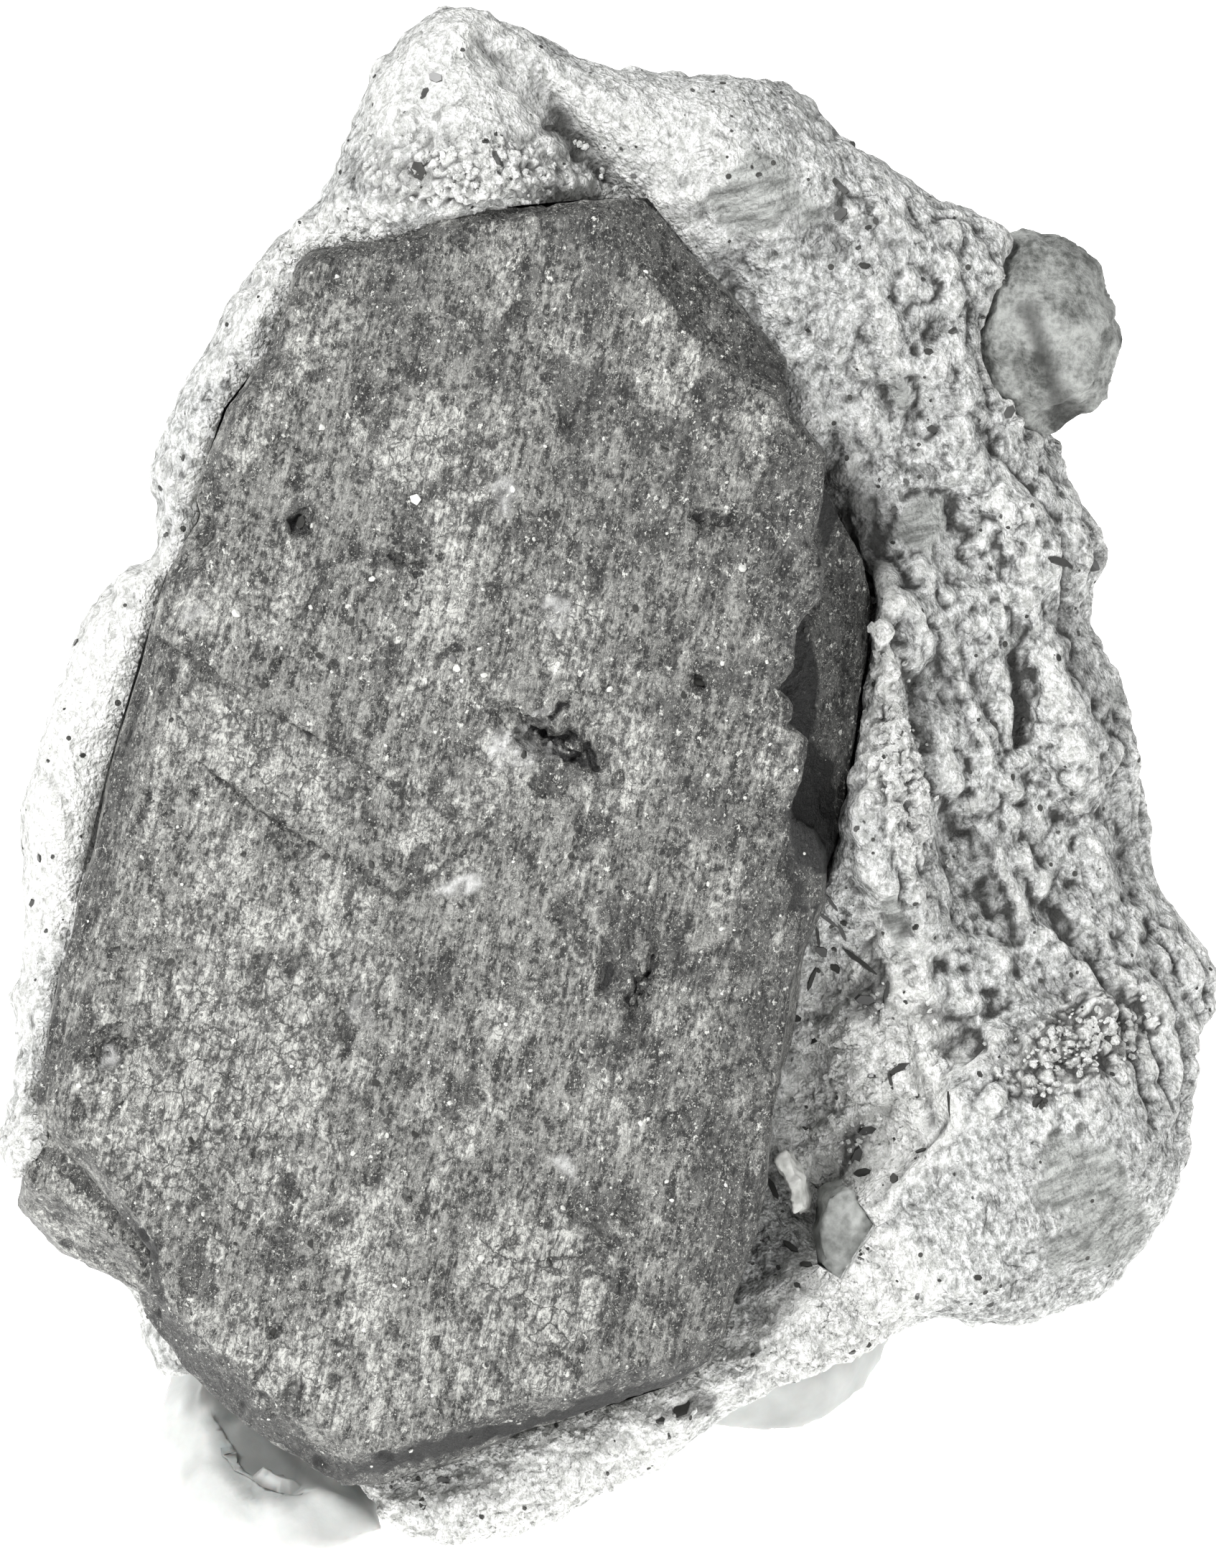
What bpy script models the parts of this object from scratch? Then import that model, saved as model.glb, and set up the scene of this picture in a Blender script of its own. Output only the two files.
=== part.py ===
"""A tabular sanidine crystal in trachyte, leaning back on two lumps of putty.

Lengths are millimetres until a mesh is written, which turns them to metres. The specimen is described
in its own leaning frame: u runs right and v up along the crystal's main face, and w comes out of it.
"""
import math

import bmesh
import bpy
import numpy as np
from mathutils import Vector, geometry, noise

MM = 0.001
GAP = 0.3
WIDE_GAP = 1.5 * GAP

# How the specimen stands: its face leans back, and the floor passes this far behind the face at v = 0.
LEAN = math.radians(30)
FLOOR_DEPTH = 6.0

# The outlines are drawn as they look from this far in front of the face, along the axis through EYE.
EYE_DISTANCE = 500.0
EYE = (0.0, 45.5)

# The crystal's upper plate, clockwise from its upper left corner. Each stretch of its edge has a bevel:
# its width on the face and how far it drops.
UPPER_EDGE = {
    "top": (0.8, 1.0, [(-17.3, 76.2), (-12.1, 77.3), (-7.1, 78.9), (-1.6, 79.4)]),
    "upper_right": (3.0, 2.4, [(2.3, 79.5), (5.9, 75.1), (8.4, 72.3)]),
    "notch": (0.5, 1.0, [(10.4, 70.1), (10.4, 67.6)]),
    "broken": (0.25, 0.3, [(11.4, 66.1), (12.8, 64.8), (12.5, 61.9), (11.8, 59.6), (12.5, 58.0),
                           (12.3, 56.4), (10.9, 54.6), (10.6, 52.3), (9.5, 51.0), (10.4, 50.0),
                           (10.2, 48.9), (11.4, 48.0), (11.1, 45.9), (10.4, 44.1), (10.7, 43.4)]),
    "lower_right": (3.6, 1.9, [(11.9, 42.8), (12.5, 41.6), (12.5, 38.7), (11.4, 35.9), (10.7, 32.7),
                               (9.5, 27.3), (8.4, 20.0), (6.6, 13.6)]),
    "bottom": (1.6, 2.2, [(5.9, 12.0), (3.4, 10.5), (-0.3, 9.3), (-4.3, 8.2), (-8.4, 6.6),
                          (-12.5, 5.2)]),
    "lower_left": (2.3, 3.0, [(-15.3, 4.8), (-17.8, 6.3), (-20.7, 7.9), (-24.7, 11.4)]),
    "step": (0.6, 1.2, [(-27.1, 14.8), (-27.5, 16.4), (-26.6, 18.2), (-30.3, 23.2)]),
    "left": (1.9, 2.2, [(-33.0, 25.9), (-33.2, 27.1), (-31.9, 34.6), (-30.5, 40.5), (-28.9, 46.9),
                        (-26.9, 53.7), (-25.5, 58.2)]),
    "upper_left": (0.9, 1.2, [(-23.7, 61.0), (-23.9, 61.9), (-23.2, 64.6), (-22.3, 67.3),
                              (-19.8, 70.5), (-18.9, 72.8), (-18.0, 75.5)]),
}
UPPER_FOOT = -6.2
UNDERCUT = 1.3

# The lower plate of the crystal, which shows at the right under the broken edge and at the lower left.
LOWER_OUTLINE = [(-21.6, 68.2), (1.1, 76.0), (7.9, 69.2), (12.7, 62.3), (14.3, 58.9), (15.4, 55.7),
                 (14.8, 51.9), (14.1, 47.3), (13.0, 41.9), (10.7, 36.4), (7.9, 22.7), (5.2, 15.0),
                 (-12.5, 9.5), (-23.5, 14.6), (-27.3, 16.1), (-31.7, 18.6), (-34.0, 21.1),
                 (-33.8, 22.7), (-32.1, 25.5), (-30.3, 34.1), (-24.8, 54.6)]
LOWER_TOP = -3.6
LOWER_FOOT = -10.5
SOCKET_TOP = 5.0
RIGHT_SLOPE_FROM, RIGHT_SLOPE = 9.3, 0.72
RIGHT_SLOPE_TOP, RIGHT_SLOPE_FOOT = 80.0, 5.0
CORNER_FACET = [(-35.0, 23.6), (-26.5, 17.6)]
CORNER_SLOPE = 1.6

# Low steps where cleavage flakes have come off the face: the edge line and the drop on its lower side.
CLEAVAGE_STEPS = [
    ([(-26.4, 54.0), (-19.4, 49.6), (-12.5, 45.5)], 0.3),
    ([(-24.8, 47.4), (-20.4, 44.4), (-15.3, 40.9)], 0.45),
]
STEP_WALL = 0.3
STEP_REACH = 9.0
FACE_GRID, FACE_MARGIN = 5.0, 1.0

# Pits in the face: centre, half length, half width, turn from the u axis in degrees, depth.
PITS = [
    ((-4.0, 48.3), 2.4, 1.2, -25, 1.6),
    ((-28.9, 30.2), 1.7, 1.2, 60, 1.1),
    ((-17.8, 60.7), 0.9, 0.8, 0, 0.7),
    ((6.1, 60.6), 1.6, 0.8, -10, 0.8),
    ((5.3, 51.4), 0.7, 0.6, 0, 0.6),
    ((1.6, 33.2), 3.4, 0.9, 75, 0.9),
    ((-11.5, 58.4), 1.5, 0.8, -30, 0.5),
    ((0.8, 19.8), 1.6, 1.0, 30, 0.6),
]
PIT_FLOOR = 1 / 3
PIT_RIM_POINTS, PIT_FLOOR_POINTS = 8, 5

# The rock's outline, clockwise from the top.
ROCK_OUTLINE = [(-9.8, 91.0), (-8.0, 91.0), (-6.2, 89.9), (-3.4, 89.0), (-0.7, 87.4), (3.4, 86.7),
                (8.4, 86.3), (11.1, 85.8), (12.9, 83.7), (16.1, 81.5), (18.4, 79.9), (20.7, 79.2),
                (23.0, 77.8), (24.4, 76.0), (25.5, 72.8), (26.0, 69.2), (26.1, 66.0), (26.8, 63.7),
                (28.4, 61.0), (29.0, 58.7), (28.1, 56.4), (28.0, 54.6), (29.8, 51.4), (30.7, 47.3),
                (31.8, 43.7), (32.1, 40.5), (33.7, 36.8), (35.3, 34.6), (35.3, 32.3), (33.9, 30.0),
                (33.9, 23.6), (33.0, 21.4), (30.9, 18.6), (28.9, 15.5), (25.2, 14.3), (21.6, 14.1),
                (19.3, 14.5), (15.2, 12.7), (12.5, 10.9), (9.3, 9.5), (5.7, 8.5), (3.4, 5.9),
                (-0.7, 3.9), (-3.4, 2.3), (-6.2, 1.7), (-8.4, 1.0), (-10.3, 0.8), (-13.4, 2.3),
                (-15.7, 4.1), (-20.3, 7.5), (-23.5, 9.8), (-25.8, 10.9), (-26.9, 13.0), (-26.9, 15.0),
                (-28.5, 17.3), (-30.7, 19.8), (-33.0, 21.4), (-34.9, 23.0), (-35.1, 25.0),
                (-34.4, 27.3), (-34.6, 30.9), (-35.1, 33.2), (-34.2, 34.6), (-33.5, 37.3),
                (-33.5, 40.0), (-34.2, 44.6), (-33.2, 47.3), (-31.9, 51.4), (-31.0, 54.1),
                (-29.4, 56.9), (-28.5, 58.2), (-26.4, 59.1), (-26.4, 61.9), (-26.9, 63.2),
                (-26.4, 65.1), (-25.3, 66.9), (-23.9, 70.5), (-22.5, 73.5), (-19.8, 76.4),
                (-16.4, 79.6), (-16.0, 80.5), (-15.3, 82.8), (-13.9, 86.4), (-12.1, 89.2)]

# Heights of the rock's front, by region: (u, v, w).
ROCK_SPOTS = {
    "left_strip": [(-20, 73, -3), (-24, 66, -4), (-25, 61, -4.5), (-28, 55, -4.5), (-31, 48, -5),
                   (-32, 41, -5), (-33, 34, -5.5)],
    "top_lobe": [(-10, 87, -2), (-13, 83, -1.5), (-7, 82, 0.5), (-16, 78, -2)],
    "top_right": [(-3, 85, -3), (0, 81, -4.5), (3, 84, -3.5), (8, 80, -4.5), (10, 75, -6),
                  (15, 80, -6.5), (17, 73, -7.5), (12, 71, -7.5), (22, 75, -9), (23, 71, -12)],
    "imprint": [(15, 66, -8.5), (14, 63, -9.5), (18, 64, -9), (24, 64, -12), (19, 59, -9.5),
                (26, 57, -13), (14, 59, -9.5), (14, 50, -9.5)],
    "ridge": [(16, 55, -6.5), (17, 48, -6), (17, 43, -5.5), (15, 40, -5.5)],
    "right_flank": [(19, 50, -10.5), (21, 43, -11), (22, 37, -11), (24, 50, -11.5), (28, 45, -14),
                    (26, 39, -13), (30, 41, -17), (27, 31, -10), (32, 33, -15)],
    "recess": [(18, 36, -8.5), (19, 32, -8.5), (13, 34, -9.5), (15, 27, -9.5), (13, 23, -10.5),
               (16, 23, -9.5), (12, 18, -9.5)],
    "lower_lobe": [(22, 26, -7), (17, 20, -6), (13, 16, -5.5), (24, 23, -7.5), (28, 20, -9.5),
                   (22, 17, -7), (31, 25, -11.5), (26, 16, -10), (15, 14, -6.5)],
    "bottom_strip": [(10, 13, -5), (6, 10, -4.5), (-1, 6, -4), (-7, 4, -4.5), (-13, 3, -5)],
    "lower_left": [(-33, 24, -2.5), (-30, 21, -3), (-28, 16, -6), (-26, 12, -6)],
    "under_crystal": [(-8, 45, -8)],
}
SPOT_SMOOTHING = 4.0

# How deep the rock's widest line lies, around its outline: (u, v, w).
ROCK_RIM = [(-9, 91, -7), (3, 87, -9), (13, 84, -11), (24, 77, -14), (26, 66, -17), (29, 58, -18),
            (30, 51, -18), (32, 43, -20), (35, 34, -19), (34, 25, -17), (30, 16, -14), (20, 14, -11),
            (9, 9.5, -9), (0, 4, -8), (-9, 1, -7.5), (-18, 5, -8), (-25, 11, -9), (-34, 22, -6.5),
            (-35, 32, -9), (-33, 47, -9), (-26, 62, -9), (-20, 76, -8), (-14, 86, -7)]
RIM_ROUNDING = 3.2

# Long forms on the rock's front: path, half width, height.
ROCK_FORMS = [
    ([(-6.1, 88.5), (-3.0, 84.5), (1.0, 79.6)], 1.7, -2.0),
    ([(15.7, 56.5), (17.9, 47.8), (17.0, 41.0)], 1.6, 2.2),
    ([(16.1, 59.6), (18.4, 50.0), (20.2, 41.5), (22.0, 37.5)], 1.5, -1.7),
    ([(21.0, 61.0), (23.5, 52.0), (25.5, 44.0), (27.0, 37.0)], 1.3, -1.5),
    ([(24.0, 61.0), (26.0, 53.0), (28.0, 46.0)], 1.2, 1.2),
    ([(22.5, 28.5), (16.5, 22.5), (10.7, 16.6)], 1.1, 1.8),
    ([(21.0, 29.8), (15.5, 24.3), (12.0, 20.0)], 1.3, -1.6),
    ([(-28.6, 57.3), (-27.0, 56.2), (-26.3, 54.0)], 0.9, -0.8),
    ([(22.6, 77.0), (23.6, 72.0), (24.4, 67.0)], 1.4, -1.2),
    ([(11.6, 66.6), (14.9, 66.3), (18.0, 64.5)], 0.9, 0.9),
    ([(10.0, 12.5), (15.0, 14.5), (20.5, 15.4)], 1.2, 0.8),
    ([(-14.0, 2.9), (-9.0, 2.6), (-3.0, 4.3)], 1.3, 0.7),
]

# Lumps and hollows on the rock's front: centre, radius, height.
ROCK_LUMPS = [
    ((-7.5, 80.8), 3.0, 1.6), ((-12.5, 79.3), 2.4, 0.8), ((-3.2, 80.6), 2.0, 0.9),
    ((6.5, 82.0), 3.4, 0.8), ((14.5, 77.3), 1.8, -1.3), ((18.5, 69.0), 2.6, 0.8),
    ((20.5, 66.0), 2.0, -0.8), ((16.3, 53.4), 1.7, 1.2), ((18.0, 46.2), 1.5, 0.9),
    ((16.2, 39.0), 2.0, 0.8), ((12.8, 34.5), 1.6, -1.2), ((14.6, 31.0), 2.2, 1.3),
    ((17.2, 27.3), 1.7, 0.9), ((11.6, 27.8), 1.4, -1.4), ((24.8, 31.5), 2.2, 1.3),
    ((28.6, 29.5), 2.0, 1.1), ((30.8, 33.4), 1.8, 0.9), ((22.0, 33.0), 1.6, -1.0),
    ((29.5, 24.5), 2.6, 0.9), ((20.5, 18.5), 2.4, 0.6), ((31.0, 20.5), 1.7, -0.8),
    ((26.8, 46.5), 1.8, 0.9), ((23.2, 41.5), 1.7, 0.8), ((30.5, 38.0), 1.8, 0.9),
    ((8.6, 11.0), 1.6, 0.9), ((2.5, 8.0), 1.5, 0.8), ((-5.0, 3.6), 1.6, 0.8),
    ((-11.0, 2.4), 1.5, -0.7), ((-34.0, 25.0), 1.4, 0.8), ((-26.2, 12.6), 1.2, 0.7),
    ((-33.0, 44.0), 1.6, 0.7), ((-26.0, 64.5), 1.4, -0.6), ((-22.4, 70.5), 1.6, 0.6),
]

# Roughness of the rock's front: two sizes of noise, the larger drawn out along the lava's flow, and
# the smooth breaks where it fades: centre, radius and how much of it is gone.
FLOW = math.radians(16)
FLOW_NOISE, FLOW_SIZE, FLOW_STRETCH = 0.7, 4.2, (1.0, 2.2)
FINE_NOISE, FINE_SIZE = 0.3, 2.3
SMOOTH_BREAKS = [((-11.0, 85.0), 5.0, 0.7), ((20.0, 20.5), 6.0, 0.55)]

# The rock's back: its depth at the foot and at the top, the breaks that slope up to either side from
# it, and how far its sides draw in towards it over a number of rings.
BACK_AT_FOOT, BACK_AT_TOP = -46.0, -20.0
LEFT_BREAK, LEFT_BREAK_SLOPE = -12.0, 0.75
RIGHT_BREAK, RIGHT_BREAK_SLOPE = 17.0, 0.6
BACK_TOP_AT = 91.0
BACK_BUMPS = [(1.2, 11.0, 30.0), (0.6, 5.0, 40.0)]
SIDE_RINGS, SIDE_DRAW_IN, SIDE_CURVE = 8, 0.40, 2.6
SIDE_BUMPS, SIDE_BUMP_SIZE = 0.9, 8.0
SIDE_FINE_BUMPS, SIDE_FINE_SIZE = 0.5, 3.6

# How finely the rock's surface is drawn, and two lines inside its outline that carry the rounding.
FRONT_GRID, FRONT_MARGIN = 1.45, 2.6
BACK_GRID, BACK_MARGIN = 3.6, 2.0
EDGE_STEP, EDGE_WANDER = 1.9, 0.5
EDGE_LINES = (0.55, 1.6)

# The rock's underside: a keel that stands on the floor, and flanks that rise from it.
KEEL_X, KEEL_HALF, KEEL_WIDENS = -5.0, 5.0, 0.10
FLANK_HEIGHT, FLANK_RUN = 8.5, 10.0
UNDERSIDE_BUMPS, UNDERSIDE_BUMP_SIZE = 0.7, 7.0
GROUND_PLAN = [(-45.0, -15.0), (-45.0, 80.0), (45.0, 80.0), (45.0, -15.0)]
GROUND_GRID, GROUND_MARGIN, GROUND_REACH = 3.4, 2.0, 60.0

# The rounded lump of another rock in the upper right edge.
ENCLAVE_CENTRE = (25.1, 71.9, -15.6)
ENCLAVE_RADII = (4.7, 5.6, 5.8)
ENCLAVE_TURN = math.radians(-12)
ENCLAVE_BUMPS = [(0.14, 1.9), (0.08, 4.3)]

# Two small crystals in the recess: foot outline, depth at the foot and at the top, lean of the top.
SMALL_CRYSTALS = {
    "recess_crystal": ([(11.7, 18.0), (12.2, 22.0), (13.4, 22.6), (15.0, 20.3), (13.0, 17.2)],
                       -11.5, -6.6, (0.6, -0.5)),
    "blade_crystal": ([(10.2, 23.4), (10.7, 24.0), (11.6, 22.3), (11.9, 20.6), (11.3, 20.4),
                       (10.9, 21.9)], -11.0, -6.9, (-0.5, 0.3)),
}

# Putty on the floor, as plans in x and y: the outline, how its lip rises from front to back
# (y and height), how far the hollow behind the lip goes down, and the rounding of its edge. The
# widest line lies at a share of the lip's height, and the foot is a little smaller than the plan.
PUTTY = {
    "putty_left": {
        "outline": [(-25.0, 26.5), (-26.6, 20.5), (-26.7, 14.0), (-25.2, 9.6), (-22.4, 6.6), (-19.0, 5.0),
                    (-15.3, 4.9), (-12.9, 6.4), (-13.4, 12.0), (-14.8, 20.0), (-15.6, 28.0),
                    (-17.0, 33.5), (-20.5, 34.5), (-23.6, 31.5)],
        "lip": ([5.0, 9.0, 18.0], [2.6, 4.2, 8.2]), "hollow": 2.3, "rounding": 2.6},
    "putty_right": {
        "outline": [(4.2, 21.5), (4.6, 18.4), (7.6, 17.2), (11.6, 18.2), (15.0, 20.6), (17.2, 24.0),
                    (17.8, 29.0), (16.4, 34.5), (11.8, 37.5), (7.4, 35.5), (5.4, 29.0)],
        "lip": ([17.0, 30.0], [8.0, 8.6]), "hollow": 0.6, "rounding": 1.9},
}
PUTTY_LIP_WIDTH = 1.7
PUTTY_RIM = 0.4
PUTTY_FOOT = 0.93
PUTTY_GRID, PUTTY_MARGIN = 1.5, 2.2
PUTTY_EDGE_STEP, PUTTY_EDGE_WANDER = 2.0, 0.3
PUTTY_EDGE_LINES = (0.5, 1.4)
PUTTY_WAVES, PUTTY_WAVE_SIZE = 0.3, 5.0

# Finishes: colour, roughness and metallic value.
FINISHES = {
    "matrix": ((0.66, 0.66, 0.64), 0.95, 0.0),
    "sanidine_crystal": ((0.21, 0.21, 0.20), 0.45, 0.0),
    "grey_enclave": ((0.30, 0.30, 0.29), 0.9, 0.0),
    "recess_crystal": ((0.30, 0.30, 0.29), 0.35, 0.0),
    "blade_crystal": ((0.70, 0.70, 0.69), 0.5, 0.0),
    "putty_left": ((0.86, 0.86, 0.85), 0.6, 0.0),
    "putty_right": ((0.86, 0.86, 0.85), 0.6, 0.0),
}


# Drawing: how far a moved corner may run out, which corners count as straight, and how a grid of
# points is laid and shaken.
CORNER_REACH = 2.2
NEARLY_STRAIGHT = 0.25
ROW_HEIGHT, SHAKE, SHAKE_SEED = 0.87, 0.22, 7
SAME_POINT = 1e-4


def place(u, v, w):
    """A point of the leaning frame, in millimetres in the standing one."""
    spread = (EYE_DISTANCE - w) / EYE_DISTANCE
    x = EYE[0] + (u - EYE[0]) * spread
    up = EYE[1] + (v - EYE[1]) * spread
    y = up * math.sin(LEAN) - w * math.cos(LEAN)
    z = up * math.cos(LEAN) + (w + FLOOR_DEPTH) * math.sin(LEAN)
    return x, y, z


def path_distance(points, path, closed=False):
    """Each point's distance to a path."""
    ends = list(zip(path, path[1:] + path[:1] if closed else path[1:]))
    nearest = np.full(len(points), np.inf)
    for start, end in ends:
        start, run = np.array(start), np.array(end) - np.array(start)
        along = np.clip((points - start) @ run / (run @ run), 0.0, 1.0)
        nearest = np.minimum(nearest, np.linalg.norm(points - start - along[:, None] * run, axis=1))
    return nearest


def inside(points, outline):
    """True for each point within an outline."""
    odd = np.zeros(len(points), bool)
    for (x0, y0), (x1, y1) in zip(outline, outline[1:] + outline[:1]):
        crosses = (points[:, 1] > y0) != (points[:, 1] > y1)
        if y0 != y1:
            odd ^= crosses & (points[:, 0] < (x1 - x0) * (points[:, 1] - y0) / (y1 - y0) + x0)
    return odd


def offset(outline, widths):
    """The outline moved inwards by a width for each edge; a clockwise outline, outwards if negative."""
    moved = []
    for i, here in enumerate(outline):
        normals = []
        for start, end in ((outline[i - 1], here), (here, outline[(i + 1) % len(outline)])):
            run = Vector(end) - Vector(start)
            normals.append(Vector((run.y, -run.x)).normalized())
        before, after = widths[i - 1], widths[i]
        turn = normals[0].cross(normals[1])
        if abs(turn) < NEARLY_STRAIGHT:
            shift = (normals[0] + normals[1]).normalized() * (before + after) / 2
        else:
            shift = Vector((before * normals[1].y - after * normals[0].y,
                            after * normals[0].x - before * normals[1].x)) / turn
        shift = shift.normalized() * min(shift.length, CORNER_REACH * max(abs(before), abs(after)))
        moved.append((here[0] + shift.x, here[1] + shift.y))
    return moved


def subdivide(outline, step, wander):
    """The outline with its edges cut to short steps, each new point wandering a little sideways."""
    fine = []
    for start, end in zip(outline, outline[1:] + outline[:1]):
        run = Vector(end) - Vector(start)
        side = Vector((-run.y, run.x)).normalized()
        count = max(1, round(run.length / step))
        for k in range(count):
            point = Vector(start) + run * k / count
            if k:
                point += side * wander * noise.noise(Vector((point.x, point.y, 3.0)))
            fine.append((point.x, point.y))
    return fine


def scatter(outline, spacing, margin):
    """Points on a shaken triangular grid within an outline."""
    corners = np.array(outline)
    low, high = corners.min(axis=0), corners.max(axis=0)
    rng = np.random.default_rng(SHAKE_SEED)
    points = []
    for row, y in enumerate(np.arange(low[1], high[1], spacing * ROW_HEIGHT)):
        for x in np.arange(low[0] + row % 2 * spacing / 2, high[0], spacing):
            points.append((x, y))
    points = np.array(points) + rng.uniform(-SHAKE, SHAKE, (len(points), 2)) * spacing
    return points[inside(points, outline) & (path_distance(points, outline, True) > margin)]


def triangulate(outline, lines=(), points=()):
    """Triangles over an outline that keep every line as edges, and the outline's own loop."""
    flat = [Vector(p) for p in outline]
    edges = [(i, (i + 1) % len(flat)) for i in range(len(flat))]
    for line in lines:
        first = len(flat)
        flat += [Vector(p) for p in line]
        edges += [(i, i + 1) for i in range(first, len(flat) - 1)]
    flat += [Vector(p) for p in points]
    corners, _, faces, *_ = geometry.delaunay_2d_cdt(flat, edges, [], 1, SAME_POINT)
    corners, faces = np.array([tuple(c) for c in corners]), np.array([list(f) for f in faces])
    faces = faces[inside(corners[faces].mean(axis=1), outline)]
    used, faces = np.unique(faces, return_inverse=True)
    corners, faces = corners[used], faces.reshape(-1, 3).tolist()
    sides = {side for face in faces for side in zip(face, face[1:] + face[:1])}
    after = {a: b for a, b in sides if (b, a) not in sides}
    loop = [next(iter(after))]
    while after[loop[-1]] != loop[0]:
        loop.append(after[loop[-1]])
    return corners, faces, loop


def noise_at(points, scale, seed, stretch=(1.0, 1.0), turn=0.0):
    """Smooth noise from about -1 to 1 on flat points, stretched along a direction."""
    cos, sin = math.cos(turn), math.sin(turn)
    turned = np.stack([points[:, 0] * cos + points[:, 1] * sin,
                       points[:, 1] * cos - points[:, 0] * sin], axis=1) / (scale * np.array(stretch))
    return np.array([noise.noise(Vector((x, y, seed))) for x, y in turned]) * 1.6


def noise_in(points, depth, scale, seed):
    """Smooth noise from about -1 to 1 at points with a depth."""
    return np.array([noise.noise(Vector((u, v, w)) / scale + Vector((seed, seed, seed)))
                     for (u, v), w in zip(points, depth)]) * 1.6


class Shell:
    """A closed mesh that is put together from sheets and the bands between their loops."""

    def __init__(self):
        self.corners, self.faces = [], []

    def sheet(self, corners, faces, loop, flip=False):
        first = len(self.corners)
        self.corners += [tuple(c) for c in corners]
        self.faces += [[first + i for i in (reversed(f) if flip else f)] for f in faces]
        return [first + i for i in loop]

    def ring(self, corners):
        first = len(self.corners)
        self.corners += [tuple(c) for c in corners]
        return list(range(first, len(self.corners)))

    def band(self, upper, lower):
        for i, here in enumerate(upper):
            ahead = (i + 1) % len(upper)
            self.faces.append([here, lower[i], lower[ahead]])
            self.faces.append([here, lower[ahead], upper[ahead]])

    def make(self, name, stand=place):
        """The object of this shell, in metres."""
        mesh = bpy.data.meshes.new(name)
        corners = [tuple(MM * c for c in stand(*corner)) for corner in self.corners]
        mesh.from_pydata(corners, [], self.faces)
        shape = bmesh.new()
        shape.from_mesh(mesh)
        bmesh.ops.recalc_face_normals(shape, faces=shape.faces)
        shape.to_mesh(mesh)
        shape.free()
        piece = bpy.data.objects.new(name, mesh)
        bpy.context.scene.collection.objects.link(piece)
        return piece


def standing(x, y, z):
    """A point that is given in the standing frame already."""
    return x, y, z


def prism(name, outline, foot, top, lean=(0.0, 0.0)):
    """A straight or leaning prism in the leaning frame."""
    shell = Shell()
    corners, faces, loop = triangulate(outline)
    upper = [(u + lean[0], v + lean[1], top) for u, v in corners]
    lower = [(u, v, foot) for u, v in corners]
    shell.band(shell.sheet(upper, faces, loop), shell.sheet(lower, faces, loop, flip=True))
    return shell.make(name)


def cut(piece, cutter, operation="DIFFERENCE"):
    """Cut a piece with a hidden one, or join the hidden one to it."""
    cutter.hide_render = True
    cutter.display_type = "WIRE"
    step = piece.modifiers.new(cutter.name, "BOOLEAN")
    step.operation = operation
    step.solver = "EXACT"
    step.object = cutter
    return piece


def pit_depth(points, centre, length, width, turn, depth):
    """How far an oval pit goes below the face at each point."""
    cos, sin = math.cos(math.radians(turn)), math.sin(math.radians(turn))
    du, dv = points[:, 0] - centre[0], points[:, 1] - centre[1]
    reach = np.hypot((du * cos + dv * sin) / length, (dv * cos - du * sin) / width)
    return depth * np.clip((1.0 - reach) / (1.0 - PIT_FLOOR), 0.0, 1.0)


def oval(centre, length, width, turn, scale, count):
    """A closed oval line."""
    cos, sin = math.cos(math.radians(turn)), math.sin(math.radians(turn))
    line = []
    for k in range(count + 1):
        angle = math.tau * (k % count) / count
        a, b = length * scale * math.cos(angle), width * scale * math.sin(angle)
        line.append((centre[0] + a * cos - b * sin, centre[1] + a * sin + b * cos))
    return line


def beside(path, distance):
    """The path moved sideways; to its lower side if the distance is positive."""
    run = Vector(path[-1]) - Vector(path[0])
    side = Vector((run.y, -run.x)).normalized() * distance
    return [(u + side.x, v + side.y) for u, v in path]


def step_drop(points, path, drop):
    """The drop below a cleavage line, which fades out away from the line and past its right end."""
    start, end = np.array(path[0]), np.array(path[-1])
    run = (end - start) / np.linalg.norm(end - start)
    rel = points - start
    below = rel @ np.array([run[1], -run[0]])
    along = rel @ run / np.linalg.norm(end - start)
    wall = np.clip(below / STEP_WALL + 0.5, 0.0, 1.0)
    fade = np.clip(1.0 - below / STEP_REACH, 0.0, 1.0) * np.clip(3.0 - 3.0 * along, 0.0, 1.0)
    return drop * wall * fade


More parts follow.
